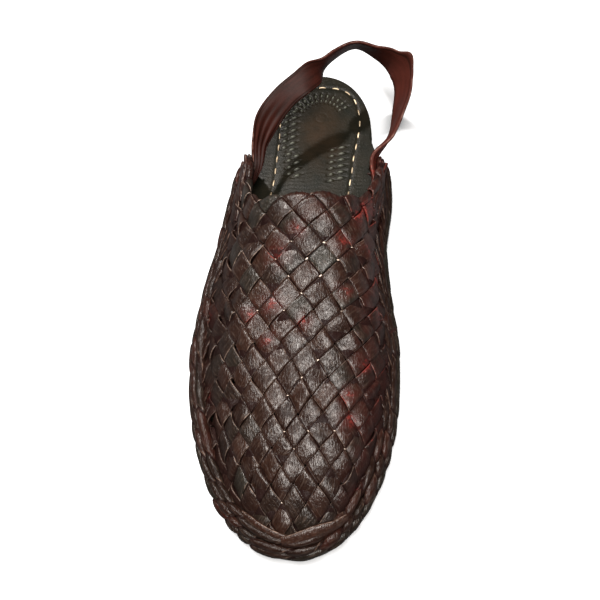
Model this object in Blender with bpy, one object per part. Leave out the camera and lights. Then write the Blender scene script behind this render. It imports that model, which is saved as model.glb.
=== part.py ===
"""A woven leather sandal: a closed-toe slingback mule for the right foot.

The shoe stands on its sole with the toe to -Y and the big-toe side to +X. Distances along the
shoe are measured from the back of the heel, and widths from the line through the middle of the
heel. The woven upper stands inside a roped edge on the outsole, and a leather strap loops from
one wing of the upper round to the other.
"""

import math

import bpy
import bmesh
import numpy as np

# Length and the two ends of the sole
LENGTH = 0.260
HEEL_ROUND = 0.040
TOE_OFFSET = 0.0025
LITTLE_TOE_START = 0.158
LITTLE_TOE_POWER = 2.0
BIG_TOE_START = 0.178
BIG_TOE_POWER = 2.15

# Reach of the sole to each side, between the heel round and the toe round
SOLE_STATIONS = (
    # from_heel, little_toe_side, big_toe_side
    (0.040, 0.0300, 0.0300),
    (0.050, 0.0335, 0.0325),
    (0.060, 0.0405, 0.0390),
    (0.076, 0.0438, 0.0416),
    (0.110, 0.0468, 0.0400),
    (0.136, 0.0515, 0.0428),
    (0.158, 0.0535, 0.0466),
    (0.178, 0.0535, 0.0475),
)

# Heights of the sole: flat under heel and ball, a low arch and a little toe spring
OUTSOLE_THICKNESS = 0.005
SOLE_EDGE_BEVEL = 0.0008
ARCH_RANGE = (0.072, 0.148)
ARCH_RISE = 0.0020
SPRING_START = 0.198
SPRING_RISE = 0.0055
INSOLE_THICKNESS = 0.003
INSOLE_MARGIN = 0.0022
INSOLE_TOE_MARGIN = 0.0045
INSOLE_STEP = (0.0515, 0.0565)
INSOLE_EDGE_BEVEL = 0.0005
SOLE_INSET = 0.0006

# Rope-like edge made by the strips where they turn under the sole
BRAID_WIDTH = 0.0046
BRAID_HEIGHT = 0.0076
BRAID_PITCH = 0.0082
BRAID_GROOVE = 0.17
BRAID_START = 0.0575

# Woven wall of the upper
GAP = 0.0003
WALL = 0.0024
STRIP_RAISE = 0.0006
STRIP_DIP = 0.0005
COLLAR_AT = 0.106
FIRST_ROW = 0.0294
ROW_STEP = 0.00765

# Columns of the weave: they close up and drift towards the little toe
WEAVE_COLUMNS = (
    # from_heel, column_step, drift
    (0.050, 0.0078, 0.0010),
    (0.106, 0.0075, 0.0010),
    (0.134, 0.0072, 0.0004),
    (0.165, 0.0063, -0.0024),
    (0.200, 0.0055, -0.0038),
    (0.260, 0.0052, -0.0028),
)

# Crest of the upper and the fullness of its two flanks
UPPER_SECTIONS = (
    # from_heel, crest_height, crest_side
    (0.050, 0.0640, 0.0060),
    (0.106, 0.0560, 0.0060),
    (0.130, 0.0490, 0.0055),
    (0.155, 0.0428, 0.0050),
    (0.185, 0.0367, 0.0040),
    (0.215, 0.0318, 0.0030),
    (0.258, 0.0270, 0.0025),
)
TOE_ROUND_START = 0.204
TOE_ROUND_POWER = 2.4
FLANKS = {
    # side: (crown power, foot power)
    "little_toe": (2.1, 0.74),
    "big_toe": (2.5, 0.44),
}

# Edge of the opening, from the middle of the collar down each wing to the sole
COLLAR_STATIONS = (
    # reach_down, little_toe_from_heel, big_toe_from_heel
    (0.00, 0.1060, 0.1060),
    (0.25, 0.1050, 0.1050),
    (0.45, 0.1000, 0.1005),
    (0.56, 0.0900, 0.0930),
    (0.62, 0.0740, 0.0800),
    (0.70, 0.0672, 0.0700),
    (0.80, 0.0645, 0.0655),
    (1.00, 0.0605, 0.0605),
)
WING_FLARE = 0.0080
WING_FLARE_END = 0.100

# Strap: the run of its middle in the open, and how far its width leans outwards from upright
STRAP_WIDTH = 0.013
STRAP_THICKNESS = 0.0018
STRAP_STATIONS = (
    # side, from_heel, height, lean, width_share
    (-0.0250, 0.0750, 0.0220, 20.0, 0.80),
    (-0.0250, 0.0610, 0.0300, 26.0, 0.90),
    (-0.0215, 0.0500, 0.0350, 52.0, 1.00),
    (-0.0125, 0.0380, 0.0395, 58.0, 1.00),
    (0.0000, 0.0280, 0.0425, 42.0, 1.00),
    (0.0115, 0.0165, 0.0440, -18.0, 1.00),
    (0.0225, 0.0105, 0.0442, -30.0, 1.00),
    (0.0340, 0.0135, 0.0430, -8.0, 1.00),
    (0.0440, 0.0195, 0.0405, 26.0, 1.00),
    (0.0470, 0.0290, 0.0365, 44.0, 1.00),
    (0.0448, 0.0430, 0.0320, 37.0, 1.00),
    (0.0405, 0.0560, 0.0282, 28.0, 0.80),
    (0.0327, 0.0655, 0.0248, 2.0, 0.66),
)
# Where each end lies against the inside of a wing, towards the toe in both
STRAP_ANCHORS = {
    # wing: (reach_down, from_heel) twice
    "little_toe": ((0.80, 0.0950), (0.79, 0.1040)),
    "big_toe": ((0.80, 0.0800), (0.82, 0.0900)),
}
STRAP_CLEARANCE = 0.0006

LEATHER_DARK = (0.030, 0.017, 0.014, 1.0)
LEATHER_OXBLOOD = (0.085, 0.020, 0.015, 1.0)
INSOLE_OLIVE = (0.040, 0.034, 0.026, 1.0)
SOLE_BROWN = (0.035, 0.022, 0.016, 1.0)


def clear_scene():
    for item in list(bpy.data.objects):
        bpy.data.objects.remove(item, do_unlink=True)


def leather(name, color, roughness):
    material = bpy.data.materials.new(name)
    material.use_nodes = True
    surface = material.node_tree.nodes["Principled BSDF"]
    surface.inputs["Base Color"].default_value = color
    surface.inputs["Roughness"].default_value = roughness
    surface.inputs["Metallic"].default_value = 0.0
    material.diffuse_color = color
    return material


def smooth_curve(knots, values, at):
    """Cubic through the knots with level ends."""
    knots = np.asarray(knots, float)
    values = np.asarray(values, float)
    slopes = np.gradient(values, knots)
    slopes[0] = 0.0
    slopes[-1] = 0.0
    at = np.clip(at, knots[0], knots[-1])
    left = np.clip(np.searchsorted(knots, at, side="right") - 1, 0, len(knots) - 2)
    span = knots[left + 1] - knots[left]
    f = (at - knots[left]) / span
    return (
        values[left] * (1 + 2 * f) * (1 - f) ** 2
        + slopes[left] * span * f * (1 - f) ** 2
        + values[left + 1] * f * f * (3 - 2 * f)
        + slopes[left + 1] * span * f * f * (f - 1)
    )


def column(table, index):
    return [row[index] for row in table]


def sole_reach(side, from_heel):
    """How far the sole reaches to one side (-1 little toe, 1 big toe)."""
    from_heel = np.asarray(from_heel, float)
    start = LITTLE_TOE_START if side < 0 else BIG_TOE_START
    reach = smooth_curve(column(SOLE_STATIONS, 0), column(SOLE_STATIONS, 1 if side < 0 else 2), from_heel)
    heel = np.clip((HEEL_ROUND - from_heel) / HEEL_ROUND, 0.0, 1.0)
    reach = reach * np.sqrt(1.0 - heel**2)
    toe = np.clip((from_heel - start) / (LENGTH - start), 0.0, 1.0)
    power = LITTLE_TOE_POWER if side < 0 else BIG_TOE_POWER
    middle = side * TOE_OFFSET
    rounded = (reach - middle) * (1.0 - toe**power) ** (1.0 / power) + middle
    return np.where(from_heel > start, rounded, reach)


def rim_outline(inset=0.0, count=240):
    """Closed outline of the sole moved inwards, as (side, from_heel) points.

    It starts at the back of the heel, runs down the big-toe side to the toe and back.
    """
    turn = np.linspace(0.0, math.pi, count + 1)
    along = 0.5 * LENGTH * (1.0 - np.cos(turn))
    big = np.column_stack((sole_reach(1, along), along))
    little = np.column_stack((-sole_reach(-1, along), along))[::-1]
    loop = np.vstack((big, little[1:-1]))
    ahead = np.roll(loop, -1, axis=0) - np.roll(loop, 1, axis=0)
    normal = np.column_stack((-ahead[:, 1], ahead[:, 0]))
    normal /= np.linalg.norm(normal, axis=1)[:, None]
    inset = np.asarray(inset, float)
    if inset.ndim:
        inset = inset[:, None]
    return loop + normal * inset


def inset_reach(inset):
    """Ends and both sides of an inset outline, as functions of the distance from the heel."""
    loop = rim_outline(inset)
    half = len(loop) // 2
    big = loop[: half + 1]
    little = np.vstack((loop[half:], loop[:1]))[::-1]
    return big, little


def side_of(track, from_heel):
    return np.interp(from_heel, track[:, 1], track[:, 0])


def sole_lift(from_heel):
    """Height of the underside: level at heel and ball, raised at the arch and the toe."""
    from_heel = np.asarray(from_heel, float)
    arch = np.clip((from_heel - ARCH_RANGE[0]) / (ARCH_RANGE[1] - ARCH_RANGE[0]), 0.0, 1.0)
    toe = np.clip((from_heel - SPRING_START) / (LENGTH - SPRING_START), 0.0, 1.0)
    return ARCH_RISE * np.sin(math.pi * arch) ** 2 + SPRING_RISE * toe**1.8


def foot_height(from_heel):
    """Height at which the upper, the edge and the insole stand on the outsole."""
    return sole_lift(from_heel) + OUTSOLE_THICKNESS + GAP


def to_world(side, from_heel, height):
    return np.column_stack((side, LENGTH / 2 - from_heel, height))


def make_object(name, points, faces, material, smooth_angle=40.0):
    mesh = bpy.data.meshes.new(name)
    mesh.from_pydata([tuple(point) for point in points], [], [tuple(face) for face in faces])
    work = bmesh.new()
    work.from_mesh(mesh)
    bmesh.ops.remove_doubles(work, verts=work.verts, dist=0.00001)
    bmesh.ops.recalc_face_normals(work, faces=work.faces)
    bmesh.ops.triangulate(work, faces=[face for face in work.faces if len(face.verts) > 3])
    work.to_mesh(mesh)
    work.free()
    mesh.shade_smooth()
    mesh.set_sharp_from_angle(angle=math.radians(smooth_angle))
    mesh.materials.append(material)
    made = bpy.data.objects.new(name, mesh)
    bpy.context.scene.collection.objects.link(made)
    return made


def slab(name, inset, bottom, top, bevel, material, stations):
    """Plate between two heights, with the outline of the sole moved inwards.

    Cross bars join the two sides at each station, so both faces follow the arch and toe spring.
    """
    big, little = inset_reach(inset)
    first = max(big[0, 1], little[0, 1])
    last = min(big[-1, 1], little[-1, 1])
    turn = np.linspace(0.0, math.pi, stations)
    along = first + 0.5 * (last - first) * (1.0 - np.cos(turn))
    levels = (
        # inset share of the bevel, height
        (1.0, bottom(along)),
        (0.0, bottom(along) + bevel),
        (0.0, top(along) - bevel),
        (1.0, top(along)),
    )
    points = []
    for share, height in levels:
        for track, way in ((big, 1.0), (little, -1.0)):
            side = side_of(track, along)
            middle = 0.5 * (side_of(big, along) + side_of(little, along))
            width = np.abs(side - middle)
            side = middle + way * np.maximum(width - share * bevel, 0.35 * width)
            from_heel = along + share * bevel * np.cos(turn)
            points.append(to_world(side, from_heel, height))
    count = stations
    faces = []
    for step in range(count - 1):
        under_big, under_little = step, count + step
        faces.append((under_big, under_big + 1, under_little + 1, under_little))
        over_big = 6 * count + step
        over_little = 7 * count + step
        faces.append((over_little, over_little + 1, over_big + 1, over_big))
        for level in range(3):
            for offset in (0, count):
                low = level * 2 * count + offset + step
                high = low + 2 * count
                faces.append((low, high, high + 1, low + 1))
    return make_object(name, np.vstack(points), faces, material)


def outsole():
    return slab(
        "outsole",
        SOLE_INSET,
        sole_lift,
        lambda along: sole_lift(along) + OUTSOLE_THICKNESS,
        SOLE_EDGE_BEVEL,
        leather("outsole_leather", SOLE_BROWN, 0.6),
        42,
    )


def insole():
    """Footbed: full width at the heel, inside the woven wall further forward."""
    outline = rim_outline()
    toe = np.clip((outline[:, 1] - TOE_ROUND_START) / (LENGTH - TOE_ROUND_START), 0.0, 1.0)
    inside = BRAID_WIDTH + WALL + INSOLE_MARGIN + INSOLE_TOE_MARGIN * toe**2
    step = np.clip((outline[:, 1] - INSOLE_STEP[0]) / (INSOLE_STEP[1] - INSOLE_STEP[0]), 0.0, 1.0)
    inset = SOLE_INSET + (inside - SOLE_INSET) * step * step * (3 - 2 * step)
    return slab(
        "insole",
        inset,
        foot_height,
        lambda along: foot_height(along) + INSOLE_THICKNESS,
        INSOLE_EDGE_BEVEL,
        leather("insole_leather", INSOLE_OLIVE, 0.55),
        42,
    )


def edge_braid():
    """Roped edge that stands on the outsole from one shoulder round the toe to the other."""
    track = rim_outline(0.5 * BRAID_WIDTH)
    path = track[track[:, 1] >= BRAID_START]
    length = np.concatenate(([0.0], np.cumsum(np.linalg.norm(np.diff(path, axis=0), axis=1))))
    lumps = round(length[-1] / BRAID_PITCH)
    rings = 4 * lumps + 1
    along = np.linspace(0.0, length[-1], rings)
    side = np.interp(along, length, path[:, 0])
    from_heel = np.interp(along, length, path[:, 1])
    ahead = np.gradient(np.column_stack((side, from_heel)), axis=0)
    outward = np.column_stack((ahead[:, 1], -ahead[:, 0]))
    outward /= np.linalg.norm(outward, axis=1)[:, None]
    corners = 8
    half = 0.5 / math.cos(math.pi / corners)
    points = []
    for corner in range(corners):
        angle = 2 * math.pi * (corner + 0.5) / corners
        twist = math.pi * along * lumps / length[-1] + angle
        swell = 1.0 - BRAID_GROOVE * (1.0 - np.abs(np.cos(twist)))
        end = np.clip(np.minimum(along, length[-1] - along) / (0.6 * BRAID_PITCH), 0.0, 1.0)
        swell = swell * (0.55 + 0.45 * np.sin(0.5 * math.pi * end))
        across = half * BRAID_WIDTH * math.cos(angle) * swell
        up = half * BRAID_HEIGHT * math.sin(angle) * swell
        middle = foot_height(from_heel) + 0.5 * BRAID_HEIGHT
        points.append(to_world(side + outward[:, 0] * across, from_heel + outward[:, 1] * across, middle + up))
    faces = []
    for corner in range(corners):
        following = (corner + 1) % corners
        for ring in range(rings - 1):
            a = corner * rings + ring
            b = following * rings + ring
            faces.append((a, a + 1, b + 1, b))
    faces.append([corner * rings for corner in range(corners)])
    faces.append([corner * rings + rings - 1 for corner in range(corners)][::-1])
    return make_object("edge_braid", np.vstack(points), faces, leather("edge_leather", LEATHER_DARK, 0.45))


class UpperForm:
    """Outer surface of the last under the weave.

    Each cross section rises from the foot line to a crest: its height is the crest height times
    (1 - X^crown)^foot, where X is the share of the way from the crest to the foot line.
    """

    def __init__(self):
        self.big, self.little = inset_reach(BRAID_WIDTH + GAP)
        self.toe_end = min(self.big[-1, 1], self.little[-1, 1])
        self.samples = 1.0 - (1.0 - np.linspace(0.0, 1.0, 49)) ** 2.2
        steps = np.linspace(COLLAR_AT, self.toe_end, 600)
        crest = np.column_stack((steps, self.crest(steps)[0]))
        travel = np.linalg.norm(np.diff(crest, axis=0), axis=1)
        self.crest_from_heel = steps
        self.crest_travel = np.concatenate(([0.0], np.cumsum(travel)))

    def crest(self, from_heel):
        height = smooth_curve(column(UPPER_SECTIONS, 0), column(UPPER_SECTIONS, 1), from_heel)
        side = smooth_curve(column(UPPER_SECTIONS, 0), column(UPPER_SECTIONS, 2), from_heel)
        toe = np.clip((from_heel - TOE_ROUND_START) / (self.toe_end - TOE_ROUND_START), 0.0, 1.0)
        fall = (1.0 - toe**TOE_ROUND_POWER) ** (1.0 / TOE_ROUND_POWER)
        foot = foot_height(from_heel)
        return foot + (height - foot) * fall, side

    def sections(self, way, from_heel):
        """Side and height along each cross section, from the crest down to the foot line."""
        crown, foot_power = FLANKS["big_toe" if way > 0 else "little_toe"]
        height, side = self.crest(from_heel)
        foot = foot_height(from_heel)
        foot_side = side_of(self.big if way > 0 else self.little, from_heel)
        share = self.samples[None, :]
        sides = side[:, None] + (foot_side - side)[:, None] * share
        rise = (1.0 - share**crown) ** foot_power
        if way > 0:
            back = np.clip((WING_FLARE_END - from_heel) / (WING_FLARE_END - BRAID_START), 0.0, 1.0)
            sides = sides + (WING_FLARE * back**1.3)[:, None] * np.clip((rise - 0.18) / 0.35, 0.0, 1.0)
        return sides, foot[:, None] + (height - foot)[:, None] * rise

    def flank_length(self, way, from_heel):
        sides, heights = self.sections(way, np.atleast_1d(np.asarray(from_heel, float)))
        return np.hypot(np.diff(sides, axis=1), np.diff(heights, axis=1)).sum(axis=1)

    def surface(self, reach, from_heel):
        """Point at a share of the way down a flank: 0 crest, 1 big-toe foot, -1 little-toe foot."""
        reach = np.asarray(reach, float)
        from_heel = np.minimum(np.asarray(from_heel, float), self.toe_end)
        point = np.zeros((len(reach), 3))
        for way in (-1.0, 1.0):
            mine = (reach >= 0) if way > 0 else (reach < 0)
            if not mine.any():
                continue
            sides, heights = self.sections(way, from_heel[mine])
            travel = np.hypot(np.diff(sides, axis=1), np.diff(heights, axis=1)).cumsum(axis=1)
            travel = np.hstack((np.zeros((len(travel), 1)), travel))
            wanted = np.minimum(np.abs(reach[mine]), 1.0) * travel[:, -1]
            rows = np.arange(len(wanted))
            above = np.clip((travel < wanted[:, None]).sum(axis=1), 1, travel.shape[1] - 1)
            span = np.maximum(travel[rows, above] - travel[rows, above - 1], 1e-12)
            f = (wanted - travel[rows, above - 1]) / span
            side = sides[rows, above - 1] * (1 - f) + sides[rows, above] * f
            height = heights[rows, above - 1] * (1 - f) + heights[rows, above] * f
            point[mine] = to_world(side, from_heel[mine], height)
        return point

    def offset(self, reach, from_heel, distance):
        """Point moved out of the surface by a distance along its normal."""
        small_reach = 0.004
        small_along = 0.0004
        low = np.maximum(reach - small_reach, -1.0)
        high = np.minimum(reach + small_reach, 1.0)
        near = from_heel - small_along
        across = self.surface(high, from_heel) - self.surface(low, from_heel)
        along = self.surface(reach, from_heel) - self.surface(reach, near)
        normal = np.cross(along, across)
        size = np.linalg.norm(normal, axis=1)[:, None]
        normal = normal / np.maximum(size, 1e-15)
        foot = np.abs(reach) > 0.9999
        normal[foot, 2] = 0.0
        normal[foot] /= np.maximum(np.linalg.norm(normal[foot], axis=1)[:, None], 1e-9)
        return self.surface(reach, from_heel) + normal * np.asarray(distance)[:, None]


class Weave:
    """Diamond cells of a diagonal weave, laid over the upper and cut by its edges."""

    def __init__(self, form):
        self.form = form

    def place(self, across, ahead):
        """Column and row of the weave to (reach, from_heel); past an edge the reach is over 1."""
        travel = FIRST_ROW + ahead * ROW_STEP
        from_heel = COLLAR_AT + travel
        if travel > 0.0:
            from_heel = float(np.interp(travel, self.form.crest_travel, self.form.crest_from_heel))
        beyond = max(travel - self.form.crest_travel[-1], 0.0) / ROW_STEP
        from_heel_knots = column(WEAVE_COLUMNS, 0)
        step = float(smooth_curve(from_heel_knots, column(WEAVE_COLUMNS, 1), from_heel))
        drift = float(smooth_curve(from_heel_knots, column(WEAVE_COLUMNS, 2), from_heel))
        down = across * step + drift
        way = 1.0 if down >= 0.0 else -1.0
        if beyond > 0.0:
            return way * (1.0 + abs(down) / step + beyond), from_heel
        length = float(self.form.flank_length(way, from_heel)[0])
        return down / max(length, 1e-6), from_heel

    def foot_room(self, across, ahead):
        return 1.0 - abs(self.place(across, ahead)[0])

    def collar_room(self, across, ahead):
        reach, from_heel = self.place(across, ahead)
        index = 2 if reach >= 0.0 else 1
        edge = smooth_curve(column(COLLAR_STATIONS, 0), column(COLLAR_STATIONS, index), np.array([abs(reach)]))
        return (from_heel - float(edge[0])) / ROW_STEP

    def crossing(self, room, inside, outside):
        for _ in range(30):
            middle = (0.5 * (inside[0] + outside[0]), 0.5 * (inside[1] + outside[1]))
            if room(*middle) >= 0.0:
                inside = middle
            else:
                outside = middle
        return inside

    def clip(self, polygon, room):
        """Part of a polygon where there is room."""
        values = [room(*point) for point in polygon]
        if min(values) >= 0.0:
            return polygon
        if max(values) <= 0.0:
            return []
        kept = []
        count = len(polygon)
        for index in range(count):
            here, value = polygon[index], values[index]
            after, after_value = polygon[(index + 1) % count], values[(index + 1) % count]
            if value >= 0.0:
                kept.append(here)
            if value >= 0.0 > after_value:
                kept.append(self.crossing(room, here, after))
            if value < 0.0 <= after_value:
                kept.append(self.crossing(room, after, here))
        return kept

    def cells(self):
        """Clipped diamonds with the direction of the strip on top."""
        found = []
        for ahead in range(-14, 20):
            for across in range(-14, 15):
                if (across + ahead) % 2 == 0:
                    continue
                diamond = [
                    (across - 1.0, float(ahead)),
                    (float(across), ahead - 1.0),
                    (across + 1.0, float(ahead)),
                    (float(across), ahead + 1.0),
                ]
                diamond = self.clip(diamond, self.foot_room)
                if len(diamond) >= 3:
                    diamond = self.clip(diamond, self.collar_room)
                if len(diamond) >= 3:
                    rising = ahead % 2 == 1
                    found.append((diamond, rising))
        return found


def polygon_area(polygon):
    total = 0.0
    for index, point in enumerate(polygon):
        after = polygon[(index + 1) % len(polygon)]
        total += point[0] * after[1] - after[0] * point[1]
    return 0.5 * total


def pad_corner(point, middle, rising):
    """Corner of the raised top of a strip: long across the strip, short along it."""
    run = (0.7071, -0.7071) if rising else (0.7071, 0.7071)
    wide = (0.7071, 0.7071) if rising else (0.7071, -0.7071)
    dx, dy = point[0] - middle[0], point[1] - middle[1]
    on_run = (dx * run[0] + dy * run[1]) * 0.56
    on_wide = (dx * wide[0] + dy * wide[1]) * 0.84
    return (
        middle[0] + on_run * run[0] + on_wide * wide[0],
        middle[1] + on_run * run[1] + on_wide * wide[1],
    )


def upper():
    """Woven wall: raised strips outside, a smooth lining side, open below and behind."""
    form = UpperForm()
    weave = Weave(form)
    places = []
    levels = []
    index_of = {}

    def vertex(point, level):
        key = (round(point[0], 5), round(point[1], 5), level)
        if key not in index_of:
            index_of[key] = len(places)
            places.append(weave.place(*point))
            levels.append(level)
        return index_of[key]

    faces = []
    edges = {}
    for polygon, rising in weave.cells():
        if abs(polygon_area(polygon)) < 0.004:
            continue
        outer = [vertex(point, "outer") for point in polygon]
        inner = [vertex(point, "inner") for point in polygon]
        faces.append(inner[::-1])
        for one, two in zip(range(len(outer)), list(range(1, len(outer))) + [0]):
            edges[(outer[one], outer[two])] = (inner[one], inner[two])
        if abs(polygon_area(polygon)) < 0.6:
            faces.append(outer)
            continue
        middle = (
            sum(point[0] for point in polygon) / len(polygon),
            sum(point[1] for point in polygon) / len(polygon),
        )
        top = [vertex(pad_corner(point, middle, rising), "raised") for point in polygon]
        faces.append(top)
        for one in range(len(outer)):
            two = (one + 1) % len(outer)
            faces.append((outer[one], outer[two], top[two], top[one]))
    for (one, two), (inner_one, inner_two) in edges.items():
        if (two, one) not in edges:
            faces.append((two, one, inner_one, inner_two))
    reach = np.clip(np.array([place[0] for place in places]), -1.0, 1.0)
    from_heel = np.array([place[1] for place in places])
    on_foot = np.abs(reach) > 0.9995
    reach[on_foot] = np.sign(reach[on_foot])
    heights = {"outer": -STRIP_DIP, "raised": STRIP_RAISE, "inner": -WALL}
    distance = np.array([heights[level] for level in levels])
    above_edge = form.surface(reach, from_heel)[:, 2] - foot_height(from_heel) - BRAID_HEIGHT
    low_down = np.clip(above_edge / 0.004 + 0.5, 0.0, 1.0)
    outside = distance > -WALL
    distance[outside] = -STRIP_DIP + (distance[outside] + STRIP_DIP) * low_down[outside]
    distance[outside & on_foot] = 0.0
    points = form.offset(reach, from_heel, distance)
    points[on_foot, 2] = foot_height(from_heel[on_foot])
    return make_object("upper", points, faces, leather("woven_leather", LEATHER_DARK, 0.42), 25.0)


def strap_end(form, wing):
    """Middle, width direction and share of the strap where it lies on the lining of a wing."""
    reach, from_heel = np.array(STRAP_ANCHORS[wing]).T
    if wing == "little_toe":
        reach = -reach
    inwards = np.full(2, -(WALL + STRAP_CLEARANCE + 0.5 * STRAP_THICKNESS))
    middle = form.offset(reach, from_heel, inwards)
    above = form.offset(reach * 0.97, from_heel, inwards)
    wide = above - middle
    wide /= np.linalg.norm(wide, axis=1)[:, None]
    return middle, wide, np.full(2, 0.7)


def heel_strap():
    """Leather band that leaves the inside of one wing, loops over the heel and returns."""
    form = UpperForm()
    table = np.array(STRAP_STATIONS)
    path = to_world(table[:, 0], table[:, 1], table[:, 2])
    ahead = np.gradient(path, axis=0)
    ahead /= np.linalg.norm(ahead, axis=1)[:, None]
    outward = np.cross((0.0, 0.0, 1.0), ahead)
    outward /= np.linalg.norm(outward, axis=1)[:, None]
    upright = np.cross(ahead, outward)
    lean = np.radians(table[:, 3])[:, None]
    wide = upright * np.cos(lean) + outward * np.sin(lean)
    start = strap_end(form, "little_toe")
    end = strap_end(form, "big_toe")
    path = np.vstack((start[0][::-1], path, end[0]))
    wide = np.vstack((start[1][::-1], wide, end[1]))
    share = np.concatenate((start[2], table[:, 4], end[2]))
    knots = np.concatenate(([0.0], np.cumsum(np.linalg.norm(np.diff(path, axis=0), axis=1))))
    fine = np.linspace(0.0, knots[-1], 61)
    path = np.column_stack([smooth_curve(knots, path[:, axis], fine) for axis in range(3)])
    wide = np.column_stack([smooth_curve(knots, wide[:, axis], fine) for axis in range(3)])
    share = smooth_curve(knots, share, fine)
    ahead = np.gradient(path, axis=0)
    ahead /= np.linalg.norm(ahead, axis=1)[:, None]
    wide -= ahead * (wide * ahead).sum(axis=1)[:, None]
    wide /= np.linalg.norm(wide, axis=1)[:, None]
    thick = np.cross(ahead, wide)
    half = 0.5 * STRAP_WIDTH * share[:, None]
    depth = 0.5 * STRAP_THICKNESS
    corners = (
        # along the width, along the thickness
        (-1.0, 0.0),
        (-0.93, 1.0),
        (0.93, 1.0),
        (1.0, 0.0),
        (0.93, -1.0),
        (-0.93, -1.0),
    )
    points = [path + wide * half * a + thick * (depth * b) for a, b in corners]
    rings = len(fine)
    faces = []
    for corner in range(len(corners)):
        following = (corner + 1) % len(corners)
        for ring in range(rings - 1):
            a = corner * rings + ring
            b = following * rings + ring
            faces.append((a, a + 1, b + 1, b))
    faces.append([corner * rings for corner in range(len(corners))])
    faces.append([corner * rings + rings - 1 for corner in range(len(corners))][::-1])
    return make_object("heel_strap", np.vstack(points), faces, leather("strap_leather", LEATHER_OXBLOOD, 0.5))


def centre_on_floor(pieces):
    """Put the middle of the shoe's box over the origin."""
    corners = np.vstack([[vertex.co[:] for vertex in piece.data.vertices] for piece in pieces])
    low = corners.min(axis=0)
    high = corners.max(axis=0)
    shift = np.array(((low[0] + high[0]) / 2, (low[1] + high[1]) / 2, low[2]))
    for piece in pieces:
        for vertex in piece.data.vertices:
            vertex.co = np.array(vertex.co) - shift


def main():
    clear_scene()
    pieces = [outsole(), insole(), edge_braid(), upper(), heel_strap()]
    centre_on_floor(pieces)


main()
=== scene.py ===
import math

import bmesh
import bpy
import numpy as np
from mathutils import Matrix, Vector


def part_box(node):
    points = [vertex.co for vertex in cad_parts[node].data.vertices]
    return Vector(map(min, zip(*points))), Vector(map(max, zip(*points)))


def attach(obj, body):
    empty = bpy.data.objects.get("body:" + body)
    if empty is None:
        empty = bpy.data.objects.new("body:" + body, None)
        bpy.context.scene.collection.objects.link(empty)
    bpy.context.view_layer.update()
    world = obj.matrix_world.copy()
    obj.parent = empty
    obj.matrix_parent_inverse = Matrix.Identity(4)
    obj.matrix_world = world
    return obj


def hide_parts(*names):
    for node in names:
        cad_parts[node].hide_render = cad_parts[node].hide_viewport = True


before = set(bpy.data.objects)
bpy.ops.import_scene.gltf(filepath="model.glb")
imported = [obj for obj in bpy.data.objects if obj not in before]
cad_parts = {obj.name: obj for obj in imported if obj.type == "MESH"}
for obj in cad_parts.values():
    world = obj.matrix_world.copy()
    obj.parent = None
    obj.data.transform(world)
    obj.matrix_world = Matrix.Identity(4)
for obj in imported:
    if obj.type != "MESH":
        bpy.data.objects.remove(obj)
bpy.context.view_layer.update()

random = np.random.default_rng(11)
print("frame loaded")

# Form of the shoe in metres. Distances run from the back of the heel, sides from the line through
# the middle of the heel: the little toe is at -X and the big toe at +X, and the toe points to -Y.
last = {
    "length": 0.260,
    "heelRound": 0.040,
    "toeOffset": 0.0025,
    "toeStart": {-1: 0.158, 1: 0.178},
    "toePower": {-1: 2.0, 1: 2.15},
    "soleThickness": 0.005,
    "soleInset": 0.0006,
    "archFrom": 0.072,
    "archTo": 0.148,
    "archRise": 0.0020,
    "springFrom": 0.198,
    "springRise": 0.0055,
    "insoleThickness": 0.003,
    "edgeWidth": 0.0046,
    "gap": 0.0003,
    "wall": 0.0024,
    "collarAt": 0.106,
    "roundStart": 0.204,
    "roundPower": 2.4,
    "flank": {-1: (2.1, 0.74), 1: (2.5, 0.44)},   # crown power, foot power
    "flare": 0.0080,
    "flareEnd": 0.100,
    "shoulderAt": 0.0575,
    "gridFrom": 0.046,       # stations of the upper's grid: body, then closer ones round the nose
    "bodyStations": 380,
    "noseFrom": 0.235,
    "noseStations": 140,
    "columns": 121,
    "flankSteps": 161,
}

soleStations = np.array([   # from heel, little-toe side, big-toe side
    (0.040, 0.0300, 0.0300),
    (0.050, 0.0335, 0.0325),
    (0.060, 0.0405, 0.0390),
    (0.076, 0.0438, 0.0416),
    (0.110, 0.0468, 0.0400),
    (0.136, 0.0515, 0.0428),
    (0.158, 0.0535, 0.0466),
    (0.178, 0.0535, 0.0475),
])

upperSections = np.array([   # from heel, crest height, crest side
    (0.050, 0.0640, 0.0060),
    (0.106, 0.0560, 0.0060),
    (0.130, 0.0490, 0.0055),
    (0.155, 0.0428, 0.0050),
    (0.185, 0.0367, 0.0040),
    (0.215, 0.0318, 0.0030),
    (0.258, 0.0270, 0.0025),
])

collarStations = np.array([   # share of the way down, little-toe side, big-toe side
    (0.00, 0.1060, 0.1060),
    (0.25, 0.1050, 0.1050),
    (0.45, 0.1000, 0.1005),
    (0.56, 0.0900, 0.0930),
    (0.62, 0.0740, 0.0800),
    (0.70, 0.0672, 0.0700),
    (0.80, 0.0645, 0.0655),
    (1.00, 0.0605, 0.0605),
])


# Cubic through the knots, level at both ends
def smoothCurve(knots, values, at):
    slopes = np.gradient(values, knots)
    slopes[[0, -1]] = 0.0
    at = np.clip(at, knots[0], knots[-1])
    left = np.clip(np.searchsorted(knots, at, side="right") - 1, 0, len(knots) - 2)
    span = knots[left + 1] - knots[left]
    f = (at - knots[left]) / span
    return (
        values[left] * (1 + 2 * f) * (1 - f) ** 2
        + slopes[left] * span * f * (1 - f) ** 2
        + values[left + 1] * f * f * (3 - 2 * f)
        + slopes[left + 1] * span * f * f * (f - 1)
    )


# One column of a table against its first
def tableCurve(table, column, at):
    return smoothCurve(table[:, 0], table[:, column], at)


# Points on the smooth curve through others, each coordinate on its own
def curveThrough(knots, points, at):
    return np.column_stack([smoothCurve(knots, line, at) for line in points.T])


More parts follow.
